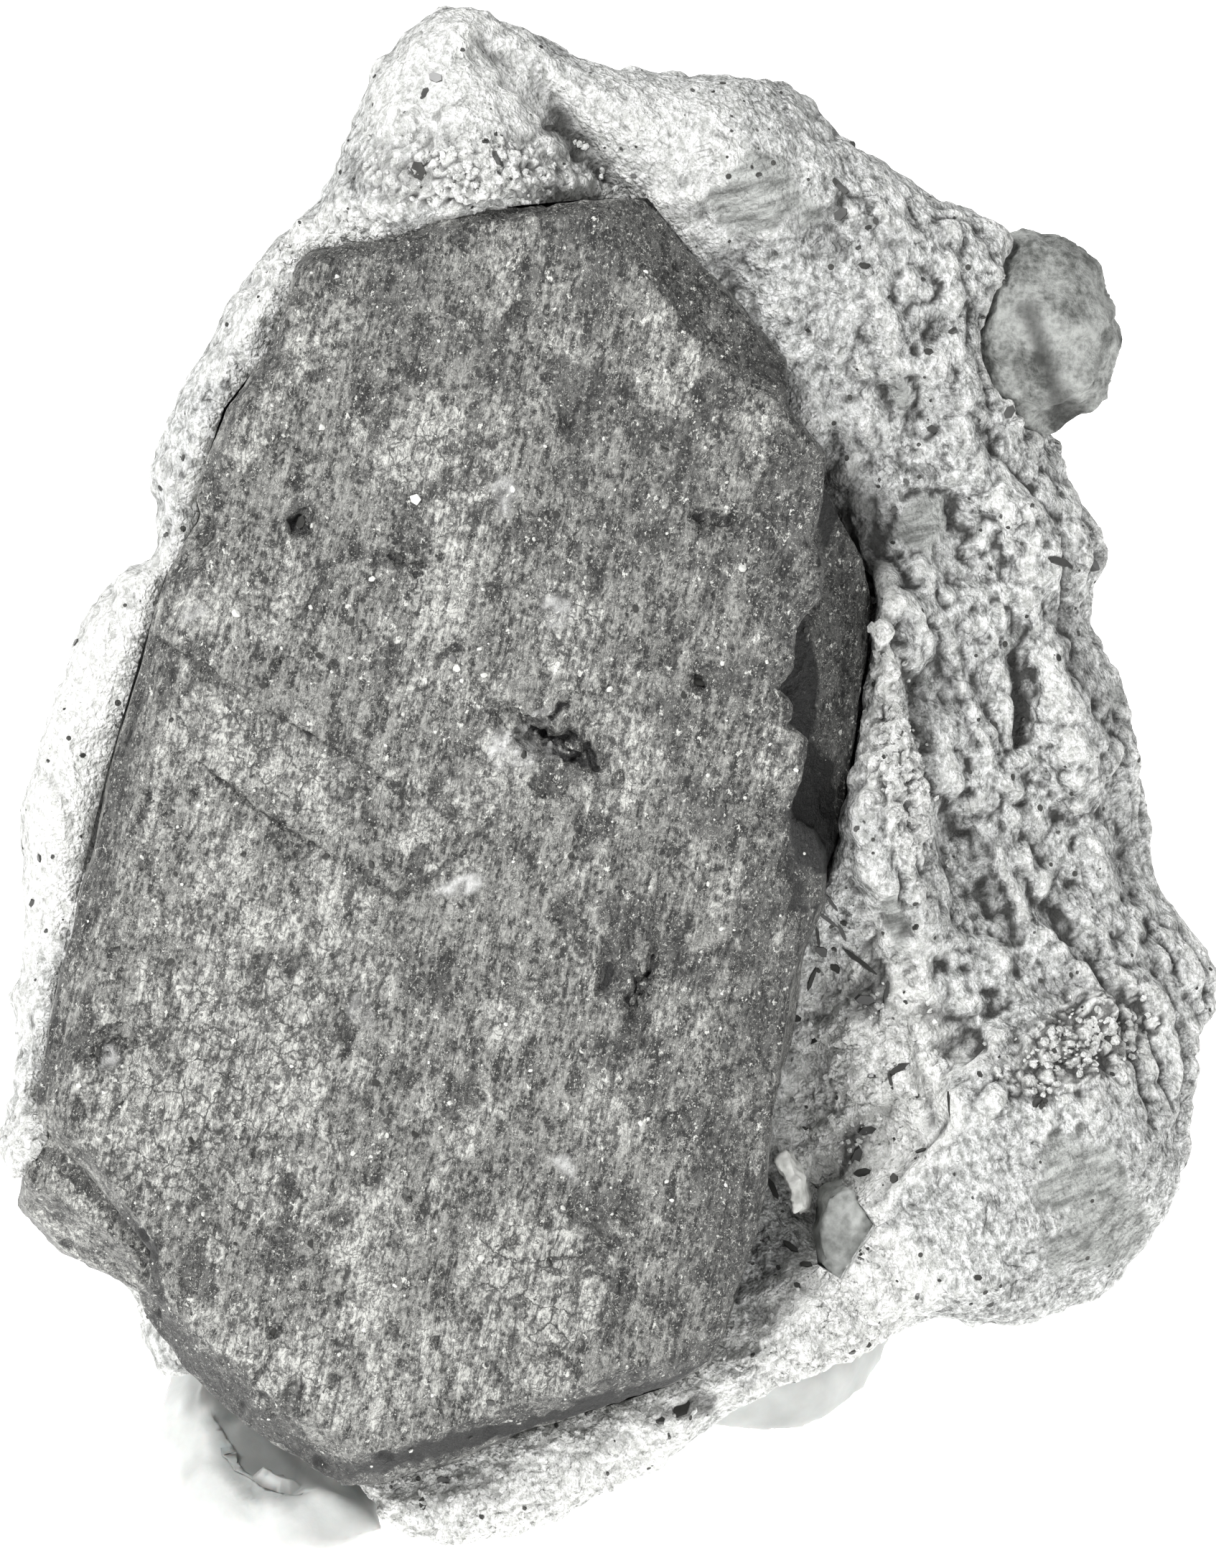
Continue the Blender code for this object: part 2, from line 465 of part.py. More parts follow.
def upper_plate():
    """The crystal's upper plate, with its bevels, cleavage steps and pits."""
    outline, widths, drops, broken = [], [], [], []
    for stretch, (width, drop, points) in UPPER_EDGE.items():
        outline += points
        widths += [width] * len(points)
        drops += [drop] * len(points)
        broken += [stretch == "broken"] * len(points)
    inset = offset(outline, widths)
    lines = [inset + inset[:1]]
    for path, _ in CLEAVAGE_STEPS:
        lines += [beside(path, -STEP_WALL / 2), beside(path, STEP_WALL / 2)]
    for centre, length, width, turn, _ in PITS:
        lines.append(oval(centre, length, width, turn, 1.0, PIT_RIM_POINTS))
        lines.append(oval(centre, length, width, turn, PIT_FLOOR, PIT_FLOOR_POINTS))
    corners, faces, loop = triangulate(outline, lines, scatter(inset, FACE_GRID, FACE_MARGIN))

    height = np.zeros(len(corners))
    for path, drop in CLEAVAGE_STEPS:
        height -= step_drop(corners, path, drop)
    for pit in PITS:
        height -= pit_depth(corners, *pit)
    for i, (width, drop) in enumerate(zip(widths, drops)):
        edge = [outline[i], outline[(i + 1) % len(outline)]]
        height = np.minimum(height, drop * (path_distance(corners, edge) / width - 1.0))

    shell = Shell()
    upper = shell.sheet([(u, v, w) for (u, v), w in zip(corners, height)], faces, loop)
    foot = []
    for i in loop:
        edge = int(np.argmin(np.linalg.norm(np.array(outline) - corners[i], axis=1)))
        foot.append((corners[i][0] - UNDERCUT * broken[edge], corners[i][1]))
    flat, faces, loop = triangulate(foot)
    lower = shell.sheet([(u, v, UPPER_FOOT) for u, v in flat], faces, loop, flip=True)
    start = int(np.argmin(np.linalg.norm(flat[loop] - np.array(foot[0]), axis=1)))
    shell.band(upper, lower[start:] + lower[:start])
    return shell.make("sanidine_crystal"), outline


def lower_height(points):
    """The lower plate's top: level under the upper plate, sloping at the right and at the corner."""
    right = RIGHT_SLOPE * np.clip(points[:, 0] - RIGHT_SLOPE_FROM, 0.0, None)
    start, end = np.array(CORNER_FACET)
    run = (end - start) / np.linalg.norm(end - start)
    past = (points - start) @ np.array([run[1], -run[0]])
    return LOWER_TOP - right - CORNER_SLOPE * np.clip(past, 0.0, None)


def lower_plate():
    """The crystal's lower plate."""
    ridge = [(RIGHT_SLOPE_FROM, RIGHT_SLOPE_TOP), (RIGHT_SLOPE_FROM, RIGHT_SLOPE_FOOT)]
    corners, faces, loop = triangulate(LOWER_OUTLINE, [ridge, CORNER_FACET])
    shell = Shell()
    heights = lower_height(corners)
    upper = shell.sheet([(u, v, w) for (u, v), w in zip(corners, heights)], faces, loop)
    lower = shell.sheet([(u, v, LOWER_FOOT) for u, v in corners], faces, loop, flip=True)
    shell.band(upper, lower)
    return shell.make("lower_plate")


def rock_front(points):
    """Height of the rock's front at each point, before its edge is rounded."""
    spots = np.array([spot for region in ROCK_SPOTS.values() for spot in region], float)

    def kernel(a, b):
        distance = np.linalg.norm(a[:, None] - b[None], axis=2)
        return distance ** 2 * np.log(distance + 1e-6)

    count = len(spots)
    flat = np.column_stack([np.ones(count), spots[:, :2]])
    system = np.block([[kernel(spots[:, :2], spots[:, :2]) + SPOT_SMOOTHING * np.eye(count), flat],
                       [flat.T, np.zeros((3, 3))]])
    weights = np.linalg.solve(system, np.append(spots[:, 2], np.zeros(3)))
    height = kernel(points, spots[:, :2]) @ weights[:count]
    height += np.column_stack([np.ones(len(points)), points]) @ weights[count:]

    for path, half_width, rise in ROCK_FORMS:
        height += rise * np.exp(-(path_distance(points, path) / half_width) ** 2)
    for centre, radius, rise in ROCK_LUMPS:
        height += rise * np.exp(-(np.linalg.norm(points - centre, axis=1) / radius) ** 2)

    roughness = np.ones(len(points))
    for centre, radius, share in SMOOTH_BREAKS:
        roughness -= share * np.exp(-(np.linalg.norm(points - centre, axis=1) / radius) ** 2)
    grain = FLOW_NOISE * noise_at(points, FLOW_SIZE, 1.0, FLOW_STRETCH, FLOW)
    return height + roughness * (grain + FINE_NOISE * noise_at(points, FINE_SIZE, 5.0))


def rock_back(points):
    """Depth of the rock's back at each point: three broken faces with bumps."""
    depth = np.interp(points[:, 1], [0.0, BACK_TOP_AT], [BACK_AT_FOOT, BACK_AT_TOP])
    depth += LEFT_BREAK_SLOPE * np.clip(LEFT_BREAK - points[:, 0], 0.0, None)
    depth += RIGHT_BREAK_SLOPE * np.clip(points[:, 0] - RIGHT_BREAK, 0.0, None)
    for bump, size, seed in BACK_BUMPS:
        depth += bump * noise_at(points, size, seed)
    return depth


def rock():
    """The rock, before anything is cut from it."""
    outline = subdivide(ROCK_OUTLINE, EDGE_STEP, EDGE_WANDER)
    lines = [offset(outline, [width] * len(outline)) for width in EDGE_LINES]
    grid = scatter(outline, FRONT_GRID, FRONT_MARGIN)
    points = np.vstack([np.array(line) for line in lines] + [grid])
    corners, faces, loop = triangulate(outline, (), points)

    rim = np.array(ROCK_RIM, float)
    bearing = np.arctan2(rim[:, 1] - EYE[1], rim[:, 0] - EYE[0])
    here = np.arctan2(corners[:, 1] - EYE[1], corners[:, 0] - EYE[0])
    order = np.argsort(bearing)
    rim_depth = np.interp(here, bearing[order], rim[order, 2], period=math.tau)
    edge = np.clip(path_distance(corners, outline, True) / RIM_ROUNDING, 0.0, 1.0)
    rounding = np.sqrt(1.0 - (1.0 - edge) ** 2)
    height = rim_depth + (rock_front(corners) - rim_depth) * rounding

    shell = Shell()
    ring = shell.sheet([(u, v, w) for (u, v), w in zip(corners, height)], faces, loop)
    edge_points, edge_depth = corners[loop], height[loop]
    for k in range(1, SIDE_RINGS + 1):
        share = k / (SIDE_RINGS + 0.4)
        inner = EYE + (edge_points - EYE) * (1.0 - SIDE_DRAW_IN * share ** SIDE_CURVE)
        depth = edge_depth + (rock_back(inner) - edge_depth) * share
        bumps = SIDE_BUMPS * noise_in(inner, depth, SIDE_BUMP_SIZE, 11.0)
        bumps += SIDE_FINE_BUMPS * (1.0 - share) * noise_in(inner, depth, SIDE_FINE_SIZE, 12.0)
        outwards = (inner - EYE) / np.linalg.norm(inner - EYE, axis=1)[:, None]
        inner = inner + outwards * (min(1.0, 3.0 * share) * (bumps - 1.0))[:, None]
        lower = shell.ring([(u, v, w) for (u, v), w in zip(inner, depth)])
        shell.band(ring, lower)
        ring = lower
    flat, faces, loop = triangulate([tuple(p) for p in inner], (),
                                    scatter([tuple(p) for p in inner], BACK_GRID, BACK_MARGIN))
    depth_there = {tuple(np.round(p, 3)): w for p, w in zip(inner, depth)}
    base = rock_back(flat)
    base = [depth_there.get(tuple(np.round(p, 3)), w) for p, w in zip(flat, base)]
    back = shell.sheet([(u, v, w) for (u, v), w in zip(flat, base)], faces, loop, flip=True)
    start = int(np.argmin(np.linalg.norm(flat[loop] - inner[0], axis=1)))
    back = back[start:] + back[:start]
    swap = dict(zip(back, ring))
    shell.faces = [[swap.get(i, i) for i in face] for face in shell.faces]
    return shell.make("matrix")


def underside(points):
    """Height of the rock's underside over the floor: zero along the keel."""
    half = KEEL_HALF + KEEL_WIDENS * points[:, 1]
    past = np.clip((np.abs(points[:, 0] - KEEL_X) - half) / FLANK_RUN, 0.0, 1.0)
    rise = FLANK_HEIGHT * past * past * (3.0 - 2.0 * past)
    return rise + np.clip(UNDERSIDE_BUMPS * noise_at(points, UNDERSIDE_BUMP_SIZE, 50.0), 0.0, None)


def ground(name, lift, reach):
    """The space between the rock's underside, moved by a lift, and a level far below or above it."""
    points = scatter(GROUND_PLAN, GROUND_GRID, GROUND_MARGIN)
    corners, faces, loop = triangulate(GROUND_PLAN, (), points)
    shell = Shell()
    under = [(x, y, z + lift) for (x, y), z in zip(corners, underside(corners))]
    far = [(x, y, reach) for x, y in corners]
    shell.band(shell.sheet(under, faces, loop), shell.sheet(far, faces, loop, flip=True))
    return shell.make(name, standing)


def enclave(name, grow=0.0):
    """The rounded lump of other rock."""
    shape = bmesh.new()
    bmesh.ops.create_icosphere(shape, subdivisions=3, radius=1.0)
    shell = Shell()
    for corner in shape.verts:
        bumps = 1.0 + sum(size * noise.noise(corner.co * often) for size, often in ENCLAVE_BUMPS)
        a, b, c = (r * bumps + grow for r in ENCLAVE_RADII)
        u, v = corner.co.x * a, corner.co.y * b
        turned = (u * math.cos(ENCLAVE_TURN) + v * math.sin(ENCLAVE_TURN),
                  v * math.cos(ENCLAVE_TURN) - u * math.sin(ENCLAVE_TURN))
        shell.corners.append((ENCLAVE_CENTRE[0] + turned[0], ENCLAVE_CENTRE[1] + turned[1],
                              ENCLAVE_CENTRE[2] + corner.co.z * c))
    shell.faces = [[corner.index for corner in face.verts] for face in shape.faces]
    shape.free()
    return shell.make(name)


def putty(name, outline, lip, hollow, rounding):
    """A lump of putty with a flat foot, a lip along its edge and a hollow inside the lip."""
    outline = subdivide(outline, PUTTY_EDGE_STEP, PUTTY_EDGE_WANDER)
    lines = [offset(outline, [width] * len(outline)) for width in PUTTY_EDGE_LINES]
    grid = scatter(outline, PUTTY_GRID, PUTTY_MARGIN)
    points = np.vstack([np.array(line) for line in lines] + [grid])
    corners, faces, loop = triangulate(outline, (), points)
    edge = path_distance(corners, outline, True)
    sink = 1.0 - np.exp(-(np.clip(edge - rounding, 0.0, None) / PUTTY_LIP_WIDTH) ** 2)
    height = np.interp(corners[:, 1], *lip) - hollow * sink
    height += PUTTY_WAVES * noise_at(corners, PUTTY_WAVE_SIZE, 60.0)
    rim = PUTTY_RIM * np.interp(corners[:, 1], *lip)
    edge = np.clip(edge / rounding, 0.0, 1.0)
    height = rim + (height - rim) * np.sqrt(1.0 - (1.0 - edge) ** 2)
    shell = Shell()
    upper = shell.sheet([(x, y, z) for (x, y), z in zip(corners, height)], faces, loop)
    middle = np.array(outline).mean(axis=0)
    foot = [tuple(middle + (p - middle) * PUTTY_FOOT) for p in corners[loop]]
    flat, faces, loop = triangulate(foot)
    lower = shell.sheet([(x, y, 0.0) for x, y in flat], faces, loop, flip=True)
    start = int(np.argmin(np.linalg.norm(flat[loop] - np.array(foot[0]), axis=1)))
    shell.band(upper, lower[start:] + lower[:start])
    return shell.make(name, standing)


def finish(piece):
    """Give a piece its own material."""
    colour, roughness, metallic = FINISHES[piece.name]
    material = bpy.data.materials.new(piece.name)
    material.use_nodes = True
    shader = material.node_tree.nodes["Principled BSDF"]
    shader.inputs["Base Color"].default_value = (*colour, 1.0)
    shader.inputs["Roughness"].default_value = roughness
    shader.inputs["Metallic"].default_value = metallic
    piece.data.materials.append(material)


def centre(pieces):
    """Hang everything on an empty that brings the middle of the pieces' box over the origin."""
    bpy.context.view_layer.update()
    graph = bpy.context.evaluated_depsgraph_get()
    corners = np.array([corner for piece in pieces for corner in piece.evaluated_get(graph).bound_box])
    middle = (corners.min(axis=0) + corners.max(axis=0)) / 2
    base = bpy.data.objects.new("base", None)
    base.location = (-middle[0], -middle[1], 0.0)
    for thing in list(bpy.context.scene.collection.objects):
        thing.parent = base
    bpy.context.scene.collection.objects.link(base)


def build():
    for old in list(bpy.data.objects):
        bpy.data.objects.remove(old)

    crystal, upper_outline = upper_plate()
    cut(crystal, lower_plate(), "UNION")
    matrix = rock()
    sockets = []
    for name, outline, foot in (("upper_socket", upper_outline, UPPER_FOOT),
                                ("lower_socket", LOWER_OUTLINE, LOWER_FOOT)):
        grown = offset(outline, [-GAP] * len(outline))
        sockets.append(prism(name, grown, foot - GAP, SOCKET_TOP))
        cut(matrix, sockets[-1])
    pieces = [crystal, matrix]
    for name, (outline, foot, top, lean) in SMALL_CRYSTALS.items():
        longer = (SOCKET_TOP - foot) / (top - foot)
        wide = offset(outline, [-WIDE_GAP] * len(outline))
        cut(matrix, prism(name + "_socket", wide, foot - GAP, SOCKET_TOP,
                          (lean[0] * longer, lean[1] * longer)))
        pieces.append(prism(name, outline, foot, top, lean))
    cut(matrix, enclave("enclave_socket", GAP))
    pieces.append(enclave("grey_enclave"))
    cut(matrix, ground("below", 0.0, -GROUND_REACH))
    above = ground("above", -WIDE_GAP, GROUND_REACH)
    for name, plan in PUTTY.items():
        pieces.append(cut(cut(putty(name, **plan), above), sockets[0]))
    for piece in pieces:
        finish(piece)
    centre(pieces)


build()
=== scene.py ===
# %% [markdown]
# # A sanidine crystal on trachyte
#
# The object is a mineral specimen: one large grey sanidine crystal in a pale volcanic rock, trachyte. It
# leans back on two lumps of white putty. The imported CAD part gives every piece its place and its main
# shape. This notebook adds what the eye sees at arm's length: grain, grooves, cracks, stains, mica, and the
# finish of each surface. It works in millimetres wherever a size matters.

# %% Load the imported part
import math

import bmesh
import bpy
import numpy as np
from mathutils import Matrix, Vector, noise
from mathutils.bvhtree import BVHTree


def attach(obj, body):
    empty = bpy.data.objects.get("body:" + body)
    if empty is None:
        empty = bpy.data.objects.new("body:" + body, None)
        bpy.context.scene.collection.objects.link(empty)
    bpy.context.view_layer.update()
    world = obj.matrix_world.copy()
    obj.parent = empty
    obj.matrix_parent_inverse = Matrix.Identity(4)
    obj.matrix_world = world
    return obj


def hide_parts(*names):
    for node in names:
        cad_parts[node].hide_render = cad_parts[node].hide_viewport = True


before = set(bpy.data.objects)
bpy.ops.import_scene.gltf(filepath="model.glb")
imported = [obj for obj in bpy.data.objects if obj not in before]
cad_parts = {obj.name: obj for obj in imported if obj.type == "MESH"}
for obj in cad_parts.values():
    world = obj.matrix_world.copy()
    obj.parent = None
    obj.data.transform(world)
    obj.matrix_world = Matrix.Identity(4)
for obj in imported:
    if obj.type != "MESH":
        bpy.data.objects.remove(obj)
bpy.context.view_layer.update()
print("nodes:", sorted(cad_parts))

# %% [markdown]
# ## A ruler on the crystal's face
#
# The specimen leans back 30 degrees, and the camera looks straight at the crystal's face. Places on it are
# easiest to give as `u` across and `v` up that face, in millimetres as the camera sees them, with `w` as the
# height out of it. Two short functions change such places into the part's own frame and back, for whole
# arrays of points at once.

# %% Places on the face
MM = 0.001
LEAN = math.radians(30)
SIN, COS = math.sin(LEAN), math.cos(LEAN)
EYE_DISTANCE = 500.0
EYE_V = 45.5
RAISED = 3.0
SHIFT = (-0.4574, -30.9015)
OUT = np.array((0.0, -COS, SIN))
UP = np.array((0.0, SIN, COS))


def from_face(u, v, w):
    """The point in the part's frame, in mm, at face place u, v and height w."""
    spread = (EYE_DISTANCE - w) / EYE_DISTANCE
    up = EYE_V + (v - EYE_V) * spread
    return np.stack([u * spread + SHIFT[0], up * SIN - w * COS + SHIFT[1], up * COS + w * SIN + RAISED], -1)


def to_face(points):
    """Face places u, v, w of points in the part's frame, all in mm."""
    y = points[:, 1] - SHIFT[1]
    z = points[:, 2] - RAISED
    w = z * SIN - y * COS
    spread = (EYE_DISTANCE - w) / EYE_DISTANCE
    v = EYE_V + (y * SIN + z * COS - EYE_V) / spread
    return np.stack([(points[:, 0] - SHIFT[0]) / spread, v, w], -1)


def point(u, v, w=0.0):
    """One such point."""
    return from_face(np.array(float(u)), np.array(float(v)), np.array(float(w)))


eye = point(0, EYE_V, EYE_DISTANCE)
print("the eye is at, in mm:", eye.round(1))

# %% [markdown]
# ## Tools for relief
#
# Rock relief is noise at several real sizes. `ripple` is smooth noise whose lumps are `size` mm wide,
# `billow` folds it into rounded lumps with sharp creases, and `grains` is a pattern of rounded cells, high in
# the middle and low in the joints. `near` is 1 on a drawn line and falls to 0 beside it, for cracks and
# grooves, and `wandering` makes such a line less straight. `patch` is 1 in an oval with ragged edges, for
# stains and for areas with their own relief, and `zone` is the strongest of several. All of them work on
# arrays, so that one line of code shapes a whole surface.

# %% Relief tools
def smooth(low, high, x):
    """0 below low, 1 above high and an even slope between."""
    t = np.clip((x - low) / (high - low), 0, 1)
    return t * t * (3 - 2 * t)


def ripple(points, size, seed=0, stretch=(1, 1, 1)):
    """Smooth noise from about -1 to 1."""
    scaled = points / (size * np.array(stretch)) + seed * np.array((7.31, 3.17, 5.73))
    return 1.6 * np.array([noise.noise(p) for p in scaled.tolist()])


def grains(points, size, seed=0):
    """Rounded cells: 1 in a cell's middle and 0 in the joints."""
    scaled = points / size + seed * np.array((4.19, 8.53, 2.91))
    nearest = np.array([noise.voronoi(p)[0][:2] for p in scaled.tolist()])
    return smooth(0.0, 0.45, nearest[:, 1] - nearest[:, 0])


def billow(points, size, seed=0, stretch=(1, 1, 1)):
    """Rounded lumps with sharp creases between them, from 0 in a crease to about 1."""
    return np.abs(ripple(points, size, seed, stretch))


def wandering(face, points, shift, size, seed):
    """The face places, moved by about shift mm in waves of size mm, so that lines drawn there wander."""
    across, up = ripple(points, size, seed), ripple(points, size, seed + 1)
    return face + shift * np.stack([across, up, np.zeros(len(face))], -1)


def near(face, path, reach):
    """1 on a line through the path's (u, v) places, and 0 from reach mm away."""
    place = face[:, :2]
    away = np.full(len(place), 1e9)
    for start, end in zip(path, path[1:]):
        start, run = np.array(start), np.subtract(end, start)
        along = np.clip((place - start) @ run / (run @ run), 0, 1)
        away = np.minimum(away, np.linalg.norm(place - start - along[:, None] * run, axis=1))
    return smooth(0, 1, 1 - away / reach)


def from_middle(face, middle, reach, turn):
    """0 in the middle of an oval and 1 on its rim. turn is anticlockwise, in degrees."""
    c, s = math.cos(math.radians(turn)), math.sin(math.radians(turn))
    du, dv = face[:, 0] - middle[0], face[:, 1] - middle[1]
    return np.hypot((du * c + dv * s) / reach[0], (dv * c - du * s) / reach[1])


def patch(face, middle, reach, turn=0.0, ragged=0.25, seed=0, edge=0.35):
    """1 inside an oval on the face and 0 outside, with a ragged edge."""
    away = from_middle(face, middle, reach, turn)
    close = away < 1.8
    wobble = np.zeros(len(face))
    flat = face[close] * (1, 1, 0)
    wobble[close] = ripple(flat, 2.2, seed + 20) + 0.6 * ripple(flat, 0.8, seed + 21)
    return smooth(1 + edge, 1 - edge, away + ragged * wobble)


def zone(face, ovals, first=0, **kind):
    """The strongest of several ovals at each place. An oval is (middle, reach, turn) and its strength, or 1."""
    return np.max([(oval[3:] or (1,))[0] * patch(face, *oval[:3], seed=first + i, **kind)
                   for i, oval in enumerate(ovals)], axis=0)


# %% [markdown]
# ## Tools for meshes
#
# The CAD solids have few, large faces, and relief needs many small ones. A voxel remesh lays a net of even
# squares over a solid, and the part of the net that the viewer sees is then split once more. Each piece
# stays under 200,000 triangles that way, with its small faces where they count.

# %% Mesh tools
def remade(name, node, voxel, rounds=0):
    """A mesh over the CAD node's solid in even squares of voxel mm, smoothed for some rounds."""
    rough = bpy.data.objects.new(name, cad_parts[node].data.copy())
    bpy.context.collection.objects.link(rough)
    net = rough.modifiers.new("net", "REMESH")
    net.mode = "VOXEL"
    net.voxel_size = voxel * MM
    if rounds:
        soft = rough.modifiers.new("soft", "SMOOTH")
        soft.iterations = rounds
    mesh = bpy.data.meshes.new_from_object(rough.evaluated_get(bpy.context.evaluated_depsgraph_get()))
    mesh.name = name
    bpy.data.objects.remove(rough)
    mesh.materials.clear()
    return mesh


def read(mesh):
    """The mesh's points in mm and its normals."""
    points = np.empty(len(mesh.vertices) * 3, np.float32)
    normals = np.empty(len(mesh.vertices) * 3, np.float32)
    mesh.vertices.foreach_get("co", points)
    mesh.vertex_normals.foreach_get("vector", normals)
    return points.reshape(-1, 3).astype(float) / MM, normals.reshape(-1, 3).astype(float)


def write(mesh, points):
    """Moves the mesh's points, none of them below the table."""
    points = points.copy()
    points[:, 2] = np.maximum(points[:, 2], 0.0)
    mesh.vertices.foreach_set("co", (points * MM).astype(np.float32).ravel())
    mesh.update()


def paint(mesh, name, values):
    """Stores one number for each point, which a material can read by name."""
    mesh.attributes.new(name, "FLOAT", "POINT").data.foreach_set("value", values.astype(np.float32))


def hollows(mesh, points, normals, rounds):
    """How far each point lies below the mean of what is round it, in mm. More rounds look further."""
    pairs = np.empty(len(mesh.edges) * 2, np.int64)
    mesh.edges.foreach_get("vertices", pairs)
    a, b = pairs.reshape(-1, 2).T
    count = np.bincount(a, minlength=len(points)) + np.bincount(b, minlength=len(points))
    mean = points.copy()
    for _ in range(rounds):
        sums = [np.bincount(a, mean[b, k], len(points)) + np.bincount(b, mean[a, k], len(points)) for k in range(3)]
        mean = 0.5 * mean + 0.5 * np.stack(sums, -1) / np.maximum(count, 1)[:, None]
    return ((mean - points) * normals).sum(1)


def merge_hidden(mesh, hidden):
    """Replaces the hidden faces with one large face, cut into triangles."""
    work = bmesh.new()
    work.from_mesh(mesh)
    work.faces.ensure_lookup_table()
    bmesh.ops.delete(work, geom=[work.faces[i] for i in np.flatnonzero(hidden)], context="FACES")
    rims = [e for e in work.edges if e.is_boundary]
    made = bmesh.ops.edgeloop_fill(work, edges=rims)["faces"]
    bmesh.ops.triangulate(work, faces=made)
    work.to_mesh(mesh)
    work.free()


def tree_of(mesh):
    """A search tree over a mesh, in mm."""
    points, _ = read(mesh)
    return BVHTree.FromPolygons(points.tolist(), [tuple(f.vertices) for f in mesh.polygons])


def split_where(mesh, chosen):
    """Splits the chosen faces, four for one."""
    work = bmesh.new()
    work.from_mesh(mesh)
    work.faces.ensure_lookup_table()
    edges = {e for i in np.flatnonzero(chosen) for e in work.faces[i].edges}
    bmesh.ops.subdivide_edges(work, edges=list(edges), cuts=1, use_grid_fill=True)
    bmesh.ops.triangulate(work, faces=[f for f in work.faces if len(f.verts) > 4])
    work.to_mesh(mesh)
    work.free()


def faces_seen(mesh, blockers):
    """True for each face that the eye sees past the blockers."""
    middles = np.array([f.center for f in mesh.polygons]) / MM
    normals = np.array([f.normal for f in mesh.polygons])
    sight = eye - middles
    sight /= np.linalg.norm(sight, axis=1)[:, None]
    seen = (normals * sight).sum(1) > 0.02
    for i in np.flatnonzero(seen):
        start = Vector(middles[i] + 0.3 * normals[i])
        seen[i] = all(b.ray_cast(start, Vector(sight[i]), 120.0)[0] is None for b in blockers)
    return seen


def placed(name, mesh, material):
    """The mesh as a piece of the part, with its material."""
    mesh.materials.append(material)
    piece = bpy.data.objects.new(name, mesh)
    bpy.context.collection.objects.link(piece)
    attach(piece, "root")
    return piece


def shown(name, mesh, material, node):
    """A finished piece that stands for a CAD node, with smooth shading."""
    for face in mesh.polygons:
        face.use_smooth = True
    piece = placed(name, mesh, material)
    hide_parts(node)
    mesh.calc_loop_triangles()
    print(f"{name}: {len(mesh.loop_triangles)} triangles")


# %% [markdown]
# ## Tools for materials
#
# Colours are given as sRGB hex, as in a paint program, and changed to the linear numbers that Blender's
# shaders use. `add` makes one shader node with its settings, and links an input wherever it is given another
# node's output instead of a number. Patterns are laid out in the object's own millimetres, so that a noise
# with a scale of 1 / 0.4 has lumps of 0.4 mm. Noise folded at its middle value is 0 along thin winding lines,
# and that draws cracks, creases and fibres.

# %% Material tools
def linear(colour):
    """A colour like #8f8f8a as linear red, green, blue and alpha."""
    parts = [int(colour[i:i + 2], 16) / 255 for i in (1, 3, 5)]
    return *[c / 12.92 if c <= 0.04045 else ((c + 0.055) / 1.055) ** 2.4 for c in parts], 1.0


def add(material, kind, inputs=None, **settings):
    """Adds one node to a material. inputs go by socket name or number."""
    tree = material.node_tree
    made = tree.nodes.new("ShaderNode" + kind)
    for name, value in settings.items():
        setattr(made, name, value)
    for key, value in (inputs or {}).items():
        if isinstance(value, bpy.types.NodeSocket):
            tree.links.new(value, made.inputs[key])
        else:
            made.inputs[key].default_value = value
    return made


def new_material(name):
    """An empty material with its output node."""
    material = bpy.data.materials.new(name)
    material.use_nodes = True
    material.node_tree.nodes.clear()
    return material, add(material, "OutputMaterial")


def in_millimetres(material, *turn):
    """The object's own coordinates in mm, turned by three angles."""
    place = add(material, "TexCoord").outputs["Object"]
    return add(material, "Mapping", {"Vector": place, "Scale": (1000, 1000, 1000),
                                     "Rotation": turn or (0, 0, 0)}).outputs[0]


def folded(material, pattern):
    """How far a noise is from its middle value. pattern is the noise's inputs."""
    fold = add(material, "TexNoise", pattern).outputs[0]
    fold = add(material, "Math", {0: fold, 1: 0.5}, operation="SUBTRACT").outputs[0]
    return add(material, "Math", {0: fold}, operation="ABSOLUTE").outputs[0]


# %% [markdown]
# ## The trachyte
#
# Trachyte is a pale, fine lava rock. Its ground is a felt of feldspar laths under half a millimetre long,
# with dark specks of mica and pyroxene. A broken face is dull. The colour
# comes from four things the eye can tell apart: slow clouds some 8 mm wide, laths drawn out along the lava's
# flow, grain of 0.4 mm, and thin dark cracks. The painted values darken stained places and put painted shade
# in hollows and grooves, whiten freshly broken ones and put a painted highlight on what stands out, and turn
# the feldspars that are cut through into banded grey.

# %% Trachyte material
LATH = 0.4
FLOW = math.radians(-16)


